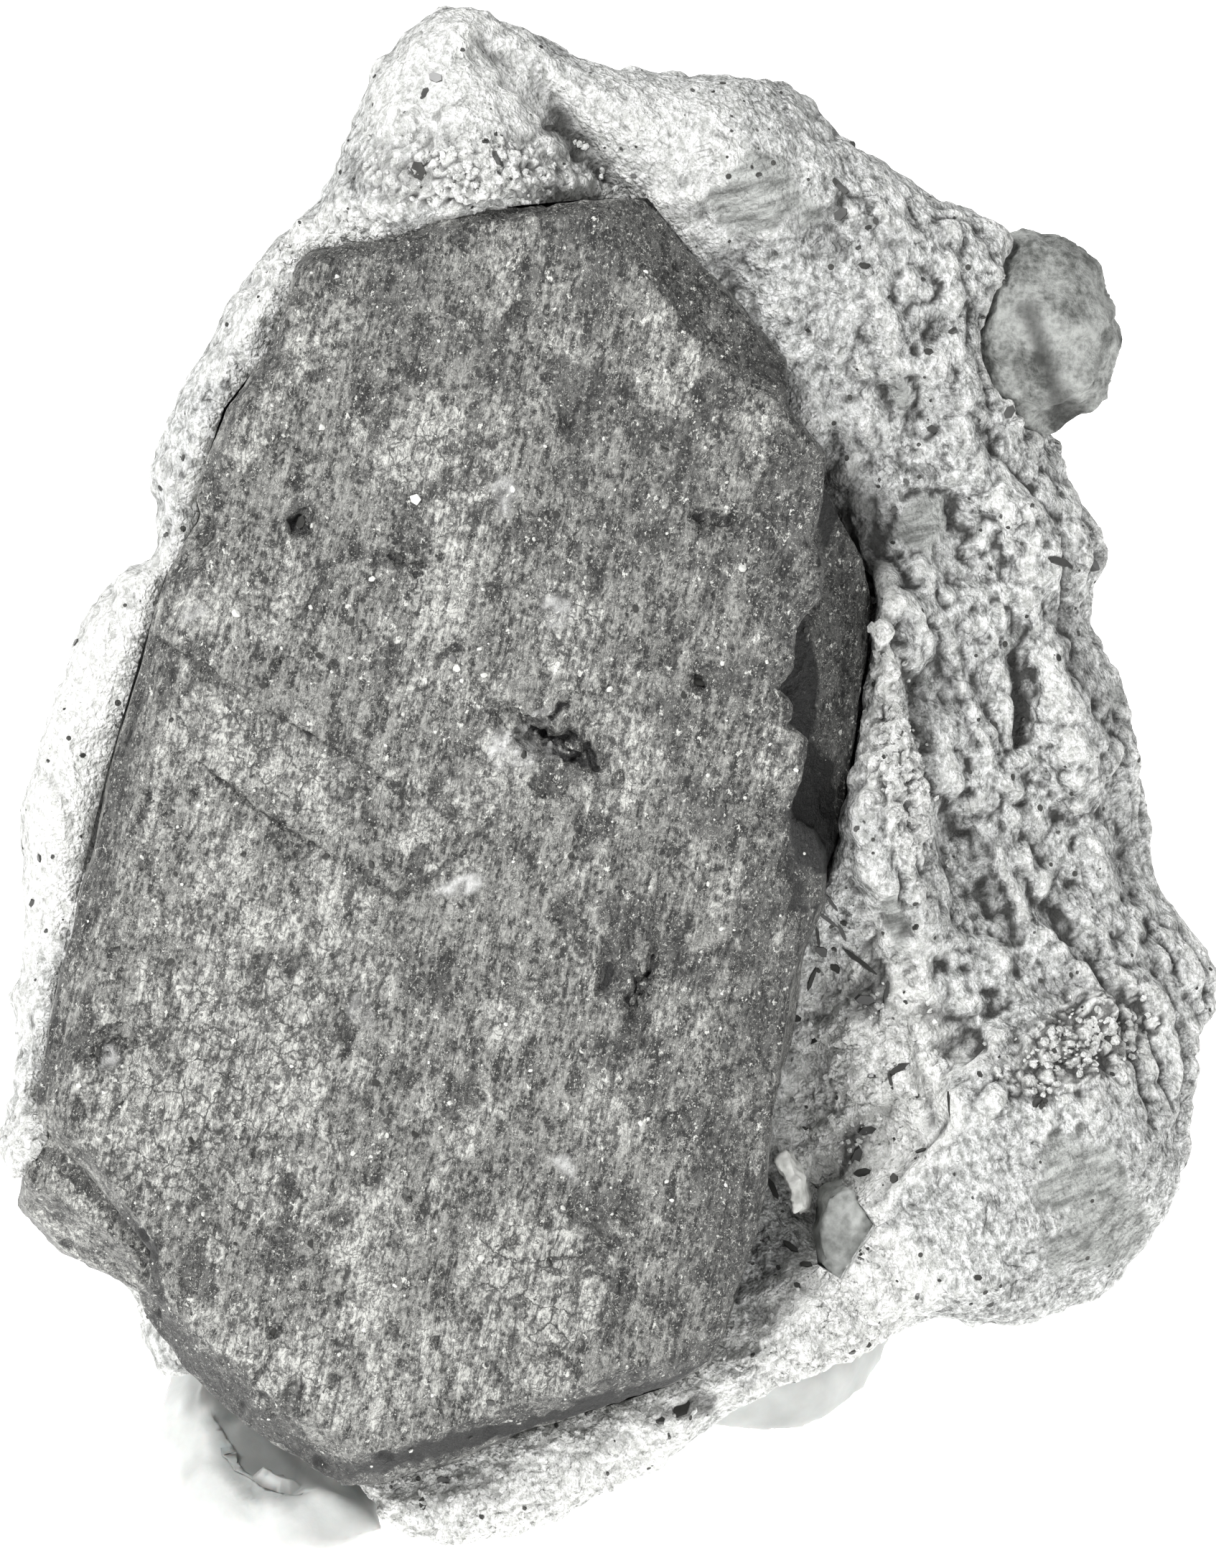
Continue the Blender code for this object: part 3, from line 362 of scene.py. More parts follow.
def trachyte_material():
    """Dull pale rock: clouds, felt, grain, fine cracks, dark specks, painted stains and shade, and a painted
    highlight.
    """
    stone, output = new_material("trachyte")
    in_mm = in_millimetres(stone, -math.pi / 2 + LEAN, 0, FLOW)
    drawn = add(stone, "Mapping", {"Vector": in_mm, "Scale": (1, 0.7, 1)}).outputs[0]
    cloud = add(stone, "TexNoise", {"Vector": in_mm, "Scale": 1 / 8, "Detail": 3}).outputs[0]
    lath = add(stone, "TexNoise", {"Vector": drawn, "Scale": 1 / LATH, "Detail": 4, "Roughness": 0.6}).outputs[0]
    lump = add(stone, "TexNoise", {"Vector": drawn, "Scale": 1 / 1.6, "Detail": 5, "Roughness": 0.62}).outputs[0]
    grain = add(stone, "TexVoronoi", {"Vector": in_mm, "Scale": 1 / LATH}, feature="DISTANCE_TO_EDGE").outputs[0]
    speck = add(stone, "TexVoronoi", {"Vector": in_mm, "Scale": 1 / 1.1, "Randomness": 1.0})
    grit = add(stone, "TexNoise", {"Vector": in_mm, "Scale": 1 / 0.16, "Detail": 2}).outputs[0]
    shade_and_stain, fresh_and_highlight, cut = [add(stone, "Attribute", attribute_name=n).outputs["Fac"] for n in ("shade_and_stain", "fresh_and_highlight", "cut")]
    felt = add(stone, "MapRange", {0: lath, 1: 0.36, 2: 0.62}).outputs[0]
    joint = add(stone, "MapRange", {0: grain, 1: 0.0, 2: 0.12, 3: 0.78, 4: 1.0}).outputs[0]
    bent = folded(stone, {"Vector": drawn, "Scale": 1 / 1.7, "Detail": 4, "Distortion": 0.8})
    open_here = add(stone, "MapRange", {0: lump, 1: 0.42, 2: 0.58, 3: 0.25, 4: 1.0}).outputs[0]
    vein = add(stone, "MapRange", {0: bent, 1: 0.0, 2: 0.030, 3: open_here, 4: 1.0}).outputs[0]
    wisp = folded(stone, {"Vector": drawn, "Scale": 1 / 0.6, "Detail": 3, "Distortion": 1.2})
    wisp = add(stone, "MapRange", {0: wisp, 1: 0.0, 2: 0.030, 3: 0.55, 4: 1.0}).outputs[0]
    vein = add(stone, "Math", {0: vein, 1: wisp}, operation="MULTIPLY").outputs[0]
    joint = add(stone, "Math", {0: joint, 1: vein}, operation="MULTIPLY").outputs[0]
    clouded = add(stone, "MapRange", {0: cloud, 1: 0.35, 2: 0.65, 3: 0.88, 4: 1.05}).outputs[0]
    lumped = add(stone, "MapRange", {0: lump, 1: 0.34, 2: 0.60, 3: 0.70, 4: 1.04}).outputs[0]
    shade = add(stone, "Math", {0: joint, 1: clouded}, operation="MULTIPLY").outputs[0]
    shade = add(stone, "Math", {0: shade, 1: lumped}, operation="MULTIPLY").outputs[0]
    ground = add(stone, "Mix", {0: felt, 6: linear("#a2a4a1"), 7: linear("#eff0ef")}, data_type="RGBA").outputs[2]
    ground = add(stone, "Mix", {0: 1.0, 6: ground, 7: shade}, data_type="RGBA", blend_type="MULTIPLY").outputs[2]
    white = add(stone, "Mix", {0: felt, 6: linear("#d8d9d5"), 7: linear("#fdfdfb")}, data_type="RGBA").outputs[2]
    white = add(stone, "Mix", {0: 0.5, 6: white, 7: joint}, data_type="RGBA", blend_type="MULTIPLY").outputs[2]
    band = add(stone, "Mapping", {"Vector": in_mm, "Scale": (0.15, 1, 1)}).outputs[0]
    band = add(stone, "TexNoise", {"Vector": band, "Scale": 1 / 0.7, "Detail": 4, "Roughness": 0.7}).outputs[0]
    band = add(stone, "MapRange", {0: band, 1: 0.38, 2: 0.62}).outputs[0]
    grey = add(stone, "Mix", {0: band, 6: linear("#6a6c69"), 7: linear("#bdbfbc")}, data_type="RGBA").outputs[2]
    cut = add(stone, "Math", {0: cut, 1: 0.9}, operation="MULTIPLY").outputs[0]
    size = add(stone, "MapRange", {0: speck.outputs["Color"], 1: 0.55, 2: 1.0, 3: 0.0, 4: 0.24}).outputs[0]
    dark = add(stone, "Math", {0: speck.outputs["Distance"], 1: size}, operation="LESS_THAN").outputs[0]
    # The dark painted value is stains and painted shade; the white one is fresh breaks and a painted highlight.
    for mask, colour in ((fresh_and_highlight, white), (cut, grey), (shade_and_stain, linear("#30302e")), (dark, linear("#4a4a47"))):
        ground = add(stone, "Mix", {0: mask, 6: ground, 7: colour}, data_type="RGBA").outputs[2]
    coarse = add(stone, "Math", {0: lath, 1: grain}, operation="ADD").outputs[0]
    coarse = add(stone, "Math", {0: lump, 1: 1.6, 2: coarse}, operation="MULTIPLY_ADD").outputs[0]
    relief = add(stone, "Bump", {"Height": coarse, "Strength": 1.0, "Distance": 0.26 * MM}).outputs[0]
    relief = add(stone, "Bump", {"Height": grit, "Strength": 0.6, "Distance": 0.07 * MM, "Normal": relief}).outputs[0]
    skin = add(stone, "BsdfPrincipled", {"Base Color": ground, "Roughness": 0.92, "IOR": 1.52, "Normal": relief})
    stone.node_tree.links.new(skin.outputs[0], output.inputs[0])
    return stone


trachyte = trachyte_material()
print("trachyte:", len(trachyte.node_tree.nodes), "nodes")

# %% [markdown]
# ## The rock's net
#
# The rock is one piece. Its net is 0.58 mm wide, and half of that where the viewer sees it: fine enough for
# the smallest lump that is given real relief, 0.7 mm wide. Finer grain is left to the material.

# %% Remake the rock
ROCK_NET = 0.58

crystal_tree = tree_of(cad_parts["sanidine_crystal"].data)
rock_mesh = remade("rock", "matrix", ROCK_NET, rounds=4)
rock_seen = faces_seen(rock_mesh, [crystal_tree, tree_of(rock_mesh)])
split_where(rock_mesh, rock_seen)
rock_points, rock_normals = read(rock_mesh)
rock_face = to_face(rock_points)
facing = smooth(0.0, 0.45, rock_normals @ OUT)
print("rock:", len(rock_points), "points,", int(rock_seen.sum()), "faces split")

# %% [markdown]
# ## The rock's zones
#
# Real trachyte breaks in several ways on one specimen. Here the upper left and the lower right are smooth,
# slightly rounded breaks. A crushed, sugary zone lies above the crystal, at its foot and in the hollow
# beside it. Grey feldspars are cut through in eight places, and the newest breaks are whiter than the rest.
# Dark spots stand for stains in mica nests and elsewhere, and for painted shade in the recess, under the grey
# lump and in a line along the crystal's right edge. The right side shows the lava's flow as long grooves. An
# oval is its middle, its two half widths and its turn on the face, and some end with a strength from 0 to 1.
# A groove is a line of places, its half width and its depth.

# %% Zones
CRUSHED = [((-6.8, 80.6), (6.6, 2.7), -6), ((-16.5, 76.0), (5.0, 1.8), 22), ((-8.0, 4.5), (12.5, 3.6), 18),
           ((27.2, 30.4), (4.4, 2.4), 24), ((14.6, 28.5), (3.6, 6.5), -14), ((-34.0, 25.0), (2.4, 1.2), -35),
           ((12.5, 13.5), (5.5, 3.0), 30), ((16.6, 48.0), (1.7, 7.5), 10), ((-25.5, 15.0), (1.5, 1.2), 0)]
SMOOTH = [((-13.5, 85.5), (5.5, 5.5), 0), ((24.5, 19.5), (9.5, 6.0), 10), ((3.5, 84.0), (8.0, 3.2), -14),
          ((-31.0, 45.0), (3.5, 13.0), -14)]
CUT_FELDSPAR = [((8.5, 79.6), (3.0, 2.5), -20), ((16.8, 68.0), (0.9, 1.0), 0), ((18.3, 60.3), (1.2, 1.6), 10),
                ((27.2, 22.3), (2.1, 2.6), 10), ((28.2, 19.0), (2.6, 1.6), 28), ((16.6, 38.0), (0.7, 1.5), 10),
                ((30.6, 51.5), (1.4, 2.6), 20), ((-31.2, 19.8), (3.9, 1.5), -42)]
STAIN_AND_SHADE_SPOTS = [((13.6, 61.5), (2.4, 4.6), 20, 0.75), ((26.3, 67.2), (0.8, 1.3), 20, 0.7),
           ((15.5, 33.3), (1.0, 1.6), -10, 0.7), ((19.0, 32.0), (1.4, 0.8), -20, 0.45),
           ((14.2, 24.6), (0.8, 1.6), -15, 0.75), ((10.2, 31.0), (0.45, 5.0), -12, 0.8),
           ((29.5, 66.5), (0.8, 0.8), 0, 0.6), ((29.2, 58.0), (0.7, 1.1), 10, 0.85),
           ((13.4, 79.3), (0.5, 0.7), 0, 0.8), ((-1.9, 83.0), (0.9, 2.2), 40, 0.35),
           ((5.0, 9.3), (1.2, 0.6), 20, 0.75), ((25.2, 27.2), (0.6, 0.4), 0, 0.7)]
WHITE = [((-6.0, 3.5), (16.0, 4.5), 18, 1.0), ((-32.0, 47.0), (4.5, 16.0), -14, 1.0),
         ((15.2, 28.4), (4.6, 7.0), -10, 1.0), ((-33.4, 24.2), (2.2, 2.4), 0, 1.0),
         ((-9.5, 87.0), (6.0, 5.0), 0, 0.6), ((1.0, 82.5), (9.0, 5.0), -14, 0.5),
         ((13.0, 15.0), (6.0, 3.5), 30, 0.9), ((-20.0, 74.0), (6.0, 6.0), 30, 0.4),
         ((16.0, 55.0), (0.8, 1.7), -10, 1.0)]
GROOVES = [([(15.1, 56.8), (17.0, 54.8), (17.9, 51.8), (18.7, 48.8), (19.0, 45.9), (20.4, 42.9)], 0.9, 0.9),
           ([(26.6, 55.8), (27.8, 51.8), (29.6, 48.8)], 1.1, 0.35),
           ([(21.4, 47.3), (22.9, 43.9), (24.4, 39.7), (25.4, 37.9)], 0.8, 0.7),
           ([(22.6, 42.9), (22.1, 40.9), (23.4, 38.2)], 0.7, 0.5),
           ([(30.1, 44.4), (30.3, 41.4), (31.8, 37.9)], 0.9, 0.6),
           ([(24.6, 51.8), (24.0, 49.3), (22.9, 46.3)], 0.8, 0.6),
           ([(22.0, 39.3), (23.5, 37.3), (24.4, 35.5), (25.0, 34.1), (25.8, 32.7)], 0.9, 0.9),
           ([(24.7, 39.3), (26.7, 37.3), (28.1, 35.3), (30.7, 32.7)], 0.9, 0.8),
           ([(18.3, 32.7), (20.9, 31.5), (22.6, 28.9)], 1.0, 0.5),
           ([(20.0, 26.6), (17.2, 23.8), (14.6, 20.3), (10.5, 15.7)], 0.7, 0.6),
           ([(25.9, 18.7), (27.6, 20.0), (29.6, 21.2)], 0.3, 0.4),
           ([(-28.5, 58.2), (-29.2, 57.0), (-28.6, 54.9), (-28.9, 53.0)], 0.4, 0.4),
           ([(-33.0, 46.5), (-31.4, 44.3), (-31.0, 42.4)], 0.3, 0.3),
           ([(-7.0, 88.4), (-4.6, 86.4), (-2.9, 84.2), (-0.9, 81.4), (1.4, 78.9)], 1.1, 1.2),
           ([(22.4, 74.3), (24.3, 71.8), (25.1, 68.5), (26.2, 66.0)], 0.6, 0.5)]

crushed = facing * zone(rock_face, CRUSHED, ragged=0.3)
calm = facing * zone(rock_face, SMOOTH, ragged=0.15)
cut_feldspar = facing * zone(rock_face, CUT_FELDSPAR, ragged=0.45, edge=0.22)
print("share of the rock's points in a crushed zone:", round(float((crushed > 0.5).mean()), 3))

# %% [markdown]
# ## The rock's relief
#
# The relief is a sum: broad lumps, creased lumps of three and of one and a half millimetres, fine grain, ribs
# drawn out along the flow, blocky grains in the crushed zones, and the grooves, cut in last. Each zone turns
# some of the terms up or down. The flow runs down to the right, 16 degrees off upright, and is strong only on
# the right-hand side. Heights are in millimetres. A crease deeper than half a millimetre is made shallower,
# so that it doesn't turn into a black slot.

# %% Carve the rock
def turned(points, angle):
    """The points turned on the face, so that their second axis follows a line that leans by angle."""
    across, up, out = points @ (1, 0, 0), points @ UP, points @ OUT
    c, s = math.cos(angle), math.sin(angle)
    return np.stack([across * c - up * s, across * s + up * c, out], -1)


BROAD, LUMPS, KNOBS, GRAIN = 0.35, 0.45, 0.32, 0.09
RIBS, KNOTS, SUGAR, TOOTH, GROOVE = 1.35, 0.35, 0.35, 0.9, 0.65
DEEPEST = -0.55
flow_points = turned(rock_points, FLOW)
right = facing * smooth(12, 18, rock_face[:, 0]) * smooth(22, 30, rock_face[:, 1]) * (1 - calm)
rough = facing * (1 - 0.7 * calm) + 0.7 * (1 - facing)
relief = BROAD * ripple(rock_points, 6.0, 1) + LUMPS * rough * (billow(rock_points, 3.2, 2) - 0.35)
relief += KNOBS * rough * (billow(rock_points, 1.6, 3) - 0.35) + GRAIN * ripple(rock_points, 0.7, 4)
relief += right * RIBS * (billow(flow_points, 3.0, 5, (1, 3.4, 1)) - 0.42)
relief += right * KNOTS * (billow(flow_points, 1.6, 6, (1, 1.8, 1)) - 0.38)
relief += crushed * (SUGAR * grains(rock_points, 0.85, 7) - 0.2 + 0.25 * ripple(rock_points, 1.6, 8))
relief += TOOTH * facing * patch(rock_face, (16.0, 55.0), (0.8, 1.6), -10)
wander = wandering(rock_face, rock_points, 0.25, 1.4, 9)
broken_up = smooth(-0.8, 0.2, ripple(rock_points, 2.5, 12))
# Thin lines along the grooves, painted dark as shade in them.
groove_shade = 0 * facing
for line, reach, depth in GROOVES:
    relief -= GROOVE * facing * depth * near(wander, line, 1.3 * reach)
    groove_shade = np.maximum(groove_shade, facing * near(wander, line, 0.45 * reach) * broken_up)
relief = np.where(relief < DEEPEST, DEEPEST + 0.45 * (relief - DEEPEST), relief) * (1 - 0.75 * cut_feldspar)
rock_carved = rock_points + rock_normals * relief[:, None]
print("relief in mm, from", round(float(relief.min()), 2), "to", round(float(relief.max()), 2))

# %% [markdown]
# The CAD part keeps a clear 0.3 mm between the crystal and the rock, because solids that touch are one
# solid. On the specimen the rock grips the crystal. So each point of the rock that is less than 0.62 mm
# from the crystal is moved onto it, and the same goes for twice that distance from the small feldspar in the
# hollow. Only to the right of the crystal's upper half the rock stands clear of it, with a dark gap between.
#
# Then the rock is painted. A point that lies lower than what is round it gets painted shade, and so do the
# furrows: one painted value darkens them, together with the stained and shaded spots. Points that stand out
# get a painted highlight in a second painted value, which also whitens the crushed and the newest breaks.

# %% Close the rock on the crystal
GRIP = 0.62
CLEAR_U, CLEAR_V = 10, 34
small_tree = tree_of(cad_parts["recess_crystal"].data)
stands_clear = (rock_face[:, 0] > CLEAR_U) & (rock_face[:, 1] > CLEAR_V)

for i, at in enumerate(rock_points.tolist()):
    held = small_tree.find_nearest(Vector(at), 2 * GRIP)[0]
    if held is not None:
        rock_carved[i] = held
    held = None if stands_clear[i] else crystal_tree.find_nearest(Vector(at), GRIP)[0]
    if held is not None:
        rock_carved[i] = held
write(rock_mesh, rock_carved)

# %% Paint the rock
rock_points, rock_normals = read(rock_mesh)
low_near = hollows(rock_mesh, rock_points, rock_normals, 4)
low_mid = hollows(rock_mesh, rock_points, rock_normals, 18)
low_wide = hollows(rock_mesh, rock_points, rock_normals, 60)
shade_and_stain = facing * zone(rock_face, STAIN_AND_SHADE_SPOTS)
# Painted shade in hollows at three sizes.
hollow_shade = (0.35 + 0.25 * right) * smooth(0.01, 0.07, low_near) + 0.42 * smooth(0.05, 0.55, low_wide)
hollow_shade += (0.12 + 0.25 * right) * smooth(0.03, 0.22, low_mid)
print("hollows in mm:", low_near.std().round(3), low_wide.std().round(3))
white = facing * zone(rock_face, WHITE, 60)
hollow_shade = hollow_shade * (1 - 0.7 * white)
sugar = facing * patch(rock_face, (27.2, 30.4), (4.6, 2.6), 24)
sugar += 0.6 * facing * patch(rock_face, (-6.8, 80.6), (7.0, 2.6), -6)
hollow_shade += 0.8 * sugar * smooth(0.75, 0.25, grains(rock_points, 0.85, 7))
# Painted highlight on points that stand out; the same white value also marks crushed and fresh breaks.
ridge_highlight = 0.3 * smooth(0.02, 0.10, -low_near) + 0.45 * smooth(0.02, 0.20, -low_mid)
# The dark value holds the stains and the painted shade together.
paint(rock_mesh, "shade_and_stain", np.clip(shade_and_stain + hollow_shade + 0.45 * groove_shade, 0, 0.95))
paint(rock_mesh, "fresh_and_highlight", np.clip(np.maximum(0.8 * crushed, white) + ridge_highlight, 0, 1))
paint(rock_mesh, "cut", cut_feldspar)
shown("trachyte_rock", rock_mesh, trachyte, "matrix")
rock_tree = tree_of(rock_mesh)

# %% [markdown]
# ## The sanidine
#
# Sanidine is a glassy feldspar. This crystal is weathered: its skin is mid grey with milky and sooty places,
# its growth lines run along its length, and clean cleavage steps cross them. Fresh sanidine has an IOR of
# 1.52 and would be shiny, but this skin is finely pitted and only has a soft lustre, so its roughness runs
# from 0.36 to 0.62. The crystal's long axis leans 13 degrees to the right on the face, and all its streaks
# follow that axis.
#
# The tone is a sum of noises from 0.3 to 1.5 mm, half of it in five steps, as thin shells overlap. Milk and
# soot are two slower noises, which the painted `pale` and `dark` values help along; since `dark` holds
# painted shade as well, the dark mask is soot and painted shade together. On top lie scratches, curled
# flake edges with a dark crease beside them, crumbs of light dust, holes, fine crazing in the pale places,
# sparks and white crust. Where `dark` is over 1.25 the skin turns black: in the splits, in the large pit,
# and as painted shadow under the jagged right edge and along the lower bevel rims.

# %% Sanidine material
AXIS = math.radians(13)


def sanidine_material():
    """Weathered glassy feldspar: ragged milky and sooty patches, streaks, flakes, curls, dust, holes and painted
    shade.
    """
    glass, output = new_material("sanidine")
    in_mm = in_millimetres(glass, -math.pi / 2 + LEAN, 0, AXIS)
    drawn = add(glass, "Mapping", {"Vector": in_mm, "Scale": (1, 0.12, 1)}).outputs[0]
    short = add(glass, "Mapping", {"Vector": in_mm, "Scale": (1, 0.75, 1)}).outputs[0]
    shifted = add(glass, "Mapping", {"Vector": short, "Location": (31, 17, 5)}).outputs[0]
    streak = add(glass, "TexNoise", {"Vector": drawn, "Scale": 1 / 0.35, "Detail": 4, "Roughness": 0.7}).outputs[0]
    fleck = add(glass, "TexNoise", {"Vector": short, "Scale": 1 / 0.34, "Detail": 4, "Roughness": 0.76}).outputs[0]
    patchy = add(glass, "TexNoise", {"Vector": shifted, "Scale": 1 / 1.5, "Detail": 6, "Roughness": 0.70}).outputs[0]
    milk = add(glass, "TexNoise", {"Vector": short, "Scale": 1 / 4.2, "Detail": 7, "Roughness": 0.66}).outputs[0]
    soot_and_shade = add(glass, "TexNoise", {"Vector": shifted, "Scale": 1 / 3.6, "Detail": 7, "Roughness": 0.68}).outputs[0]
    dust = add(glass, "TexNoise", {"Vector": shifted, "Scale": 1 / 0.5, "Detail": 4, "Roughness": 0.70}).outputs[0]
    push = add(glass, "TexNoise", {"Vector": in_mm, "Scale": 1 / 0.6, "Detail": 2}).outputs[1]
    push = add(glass, "VectorMath", {0: push, 3: 0.9}, operation="SCALE").outputs[0]
    torn = add(glass, "VectorMath", {0: short, 1: push}, operation="ADD").outputs[0]
    flake = add(glass, "TexVoronoi", {"Vector": torn, "Scale": 1 / 0.6}).outputs["Color"]
    curl = folded(glass, {"Vector": short, "Scale": 1 / 0.6, "Detail": 3, "Distortion": 1.5})
    scratch = folded(glass, {"Vector": drawn, "Scale": 1 / 0.5, "Detail": 2, "Distortion": 0.4})
    pale, dark, crust = [add(glass, "Attribute", attribute_name=n).outputs["Fac"] for n in ("pale", "dark", "crust")]
    tone = fleck
    for part, weight in ((streak, 0.70), (patchy, 0.55), (flake, 0.12)):
        tone = add(glass, "Math", {0: part, 1: weight, 2: tone}, operation="MULTIPLY_ADD").outputs[0]
    plates = add(glass, "MapRange", {0: tone, 1: 1.06, 2: 1.32, 5: 5.0}, interpolation_type="STEPPED").outputs[0]
    tone = add(glass, "MapRange", {0: tone, 1: 1.04, 2: 1.34, 3: 0.0, 4: 0.55}).outputs[0]
    tone = add(glass, "Math", {0: plates, 1: 0.45, 2: tone}, operation="MULTIPLY_ADD").outputs[0]
    skin = add(glass, "Mix", {0: tone, 6: linear("#20201e"), 7: linear("#9e9e9a")}, data_type="RGBA").outputs[2]
    milky = add(glass, "Mix", {0: tone, 6: linear("#565654"), 7: linear("#d4d4cf")}, data_type="RGBA").outputs[2]
    dusk = add(glass, "Mix", {0: tone, 6: linear("#0e0e0d"), 7: linear("#555553")}, data_type="RGBA").outputs[2]
    milk = add(glass, "Math", {0: fleck, 1: 0.12, 2: milk}, operation="MULTIPLY_ADD").outputs[0]
    milk = add(glass, "Math", {0: pale, 1: 0.22, 2: milk}, operation="MULTIPLY_ADD").outputs[0]
    milk = add(glass, "MapRange", {0: milk, 1: 0.59, 2: 0.68, 3: 0.0, 4: 0.85}).outputs[0]
    soot_and_shade = add(glass, "Math", {0: fleck, 1: -0.12, 2: soot_and_shade}, operation="MULTIPLY_ADD").outputs[0]
    # The dark value brings painted shade into this mask as well as soot.
    soot_and_shade = add(glass, "Math", {0: dark, 1: 0.28, 2: soot_and_shade}, operation="MULTIPLY_ADD").outputs[0]
    soot_and_shade = add(glass, "MapRange", {0: soot_and_shade, 1: 0.505, 2: 0.60, 3: 0.0, 4: 0.9}).outputs[0]
    scratch = add(glass, "MapRange", {0: scratch, 1: 0.0, 2: 0.016, 3: 0.75, 4: 0.0}).outputs[0]
    pleat = add(glass, "MapRange", {0: patchy, 1: 0.42, 2: 0.60, 3: 0.1, 4: 0.9}).outputs[0]
    crease = add(glass, "MapRange", {0: curl, 1: 0.020, 2: 0.045, 3: pleat, 4: 0.0}).outputs[0]
    curl = add(glass, "MapRange", {0: curl, 1: 0.0, 2: 0.020, 3: pleat, 4: 0.0}).outputs[0]
    light = add(glass, "MapRange", {0: dust, 1: 0.63, 2: 0.67, 3: 0.0, 4: 0.9}).outputs[0]
    hole = add(glass, "MapRange", {0: dust, 1: 0.37, 2: 0.33, 3: 0.0, 4: 0.9}).outputs[0]
    craze = add(glass, "VectorMath", {0: in_mm, 1: push}, operation="ADD").outputs[0]
    craze = add(glass, "TexVoronoi", {"Vector": craze, "Scale": 1 / 1.6}, feature="DISTANCE_TO_EDGE").outputs[0]
    craze = add(glass, "MapRange", {0: craze, 1: 0.015, 2: 0.045, 3: pale, 4: 0.0}).outputs[0]
    spark = add(glass, "TexNoise", {"Vector": short, "Scale": 1 / 0.16, "Detail": 2, "Roughness": 0.7}).outputs[0]
    spark = add(glass, "MapRange", {0: spark, 1: 0.60, 2: 0.66, 3: 0.0, 4: 0.7}).outputs[0]
    lime = add(glass, "Mix", {0: fleck, 6: linear("#9c9c97"), 7: linear("#ffffff")}, data_type="RGBA").outputs[2]
    # Black where the dark value is highest: splits, the large pit, and painted shadow under the jagged edge and along
    # the lower bevel rims.
    black = add(glass, "MapRange", {0: dark, 1: 1.25, 2: 1.7, 3: 0.0, 4: 0.9}).outputs[0]
    for mask, colour in ((milk, milky), (soot_and_shade, dusk), (scratch, linear("#1c1c1b")), (crease, linear("#262625")),
                         (curl, linear("#cfcfca")), (light, linear("#dcdcd7")), (hole, linear("#161615")),
                         (craze, linear("#2e2e2c")), (spark, linear("#bcbcb7")), (crust, lime),
                         (black, linear("#080808"))):
        skin = add(glass, "Mix", {0: mask, 6: skin, 7: colour}, data_type="RGBA").outputs[2]
    rough = add(glass, "MapRange", {0: fleck, 1: 0.3, 2: 0.7, 3: 0.36, 4: 0.62}).outputs[0]
    high = streak
    for part, weight in ((dust, 0.8), (patchy, 1.5), (curl, 0.25)):
        high = add(glass, "Math", {0: part, 1: weight, 2: high}, operation="MULTIPLY_ADD").outputs[0]
    lines = add(glass, "Bump", {"Height": high, "Strength": 1.0, "Distance": 0.16 * MM}).outputs[0]
    lines = add(glass, "Bump", {"Height": fleck, "Strength": 1.0, "Distance": 0.15 * MM, "Normal": lines}).outputs[0]
    body = add(glass, "BsdfPrincipled", {"Base Color": skin, "Roughness": rough, "IOR": 1.52, "Normal": lines})
    glass.node_tree.links.new(body.outputs[0], output.inputs[0])
    return glass


sanidine = sanidine_material()
print("sanidine:", len(sanidine.node_tree.nodes), "nodes")

# %% [markdown]
# ## The crystal's net
#
# The crystal's edges are crisp, and a voxel net rounds them. So after the split the points are put back on
# the CAD solid, each at its nearest place. The cracks are thinner than the net, so the faces along them are
# split once more, and so are those round the large pit. The hidden back is one face cut into triangles.

# %% Remake the crystal
CRYSTAL_NET = 0.3
CLEAVAGE = [[(-26.2, 53.9), (-23.5, 52.3), (-19.8, 49.8), (-17.1, 48.2), (-12.5, 45.5)],
            [(-24.6, 47.3), (-21.6, 45.0), (-18.5, 42.8), (-15.3, 40.9)]]
CRACKS = [[(-14.8, 61.0), (-16.0, 58.6), (-17.2, 56.3), (-18.9, 53.0), (-19.7, 50.4)],
          [(-16.5, 56.1), (-16.9, 54.4), (-18.6, 51.5)], [(-19.5, 18.5), (-19.9, 16.0), (-19.8, 14.3)],
          [(-19.7, 14.6), (-19.6, 12.3), (-20.6, 10.6)], [(-22.6, 54.2), (-24.6, 50.6)],
          [(-12.6, 35.0), (-15.4, 29.5), (-16.5, 26.0)], [(-21.5, 30.4), (-22.6, 27.0), (-24.6, 23.2)],
          [(-24.0, 43.0), (-25.6, 39.8)], [(-27.2, 28.4), (-28.9, 26.0)], [(-16.0, 22.4), (-16.3, 18.6)],
          [(3.6, 41.0), (3.1, 37.5), (2.0, 33.4)], [(1.0, 17.2), (0.1, 13.0)], [(7.6, 35.6), (6.6, 30.4)],
          [(-0.6, 42.6), (-2.6, 41.2), (-4.9, 39.0)]]

crystal_mesh = remade("crystal", "sanidine_crystal", CRYSTAL_NET)
hidden = np.array([f.normal for f in crystal_mesh.polygons]) @ OUT < -0.25
merge_hidden(crystal_mesh, hidden)
middles = to_face(np.array([f.center for f in crystal_mesh.polygons]) / MM)
fine = np.max([near(middles, line, 0.45) for line in CLEAVAGE + CRACKS]
              + [patch(middles, (-3.0, 48.0), (4.0, 2.4))], axis=0) > 0
outward = np.array([f.normal for f in crystal_mesh.polygons]) @ OUT > 0.5
split_where(crystal_mesh, fine & outward)
crystal_points, _ = read(crystal_mesh)
for i, spot in enumerate(crystal_points.tolist()):
    crystal_points[i] = crystal_tree.find_nearest(Vector(spot))[0]
write(crystal_mesh, crystal_points)
crystal_points, crystal_normals = read(crystal_mesh)
crystal_face = to_face(crystal_points)
front = smooth(0.2, 0.8, crystal_normals @ OUT)
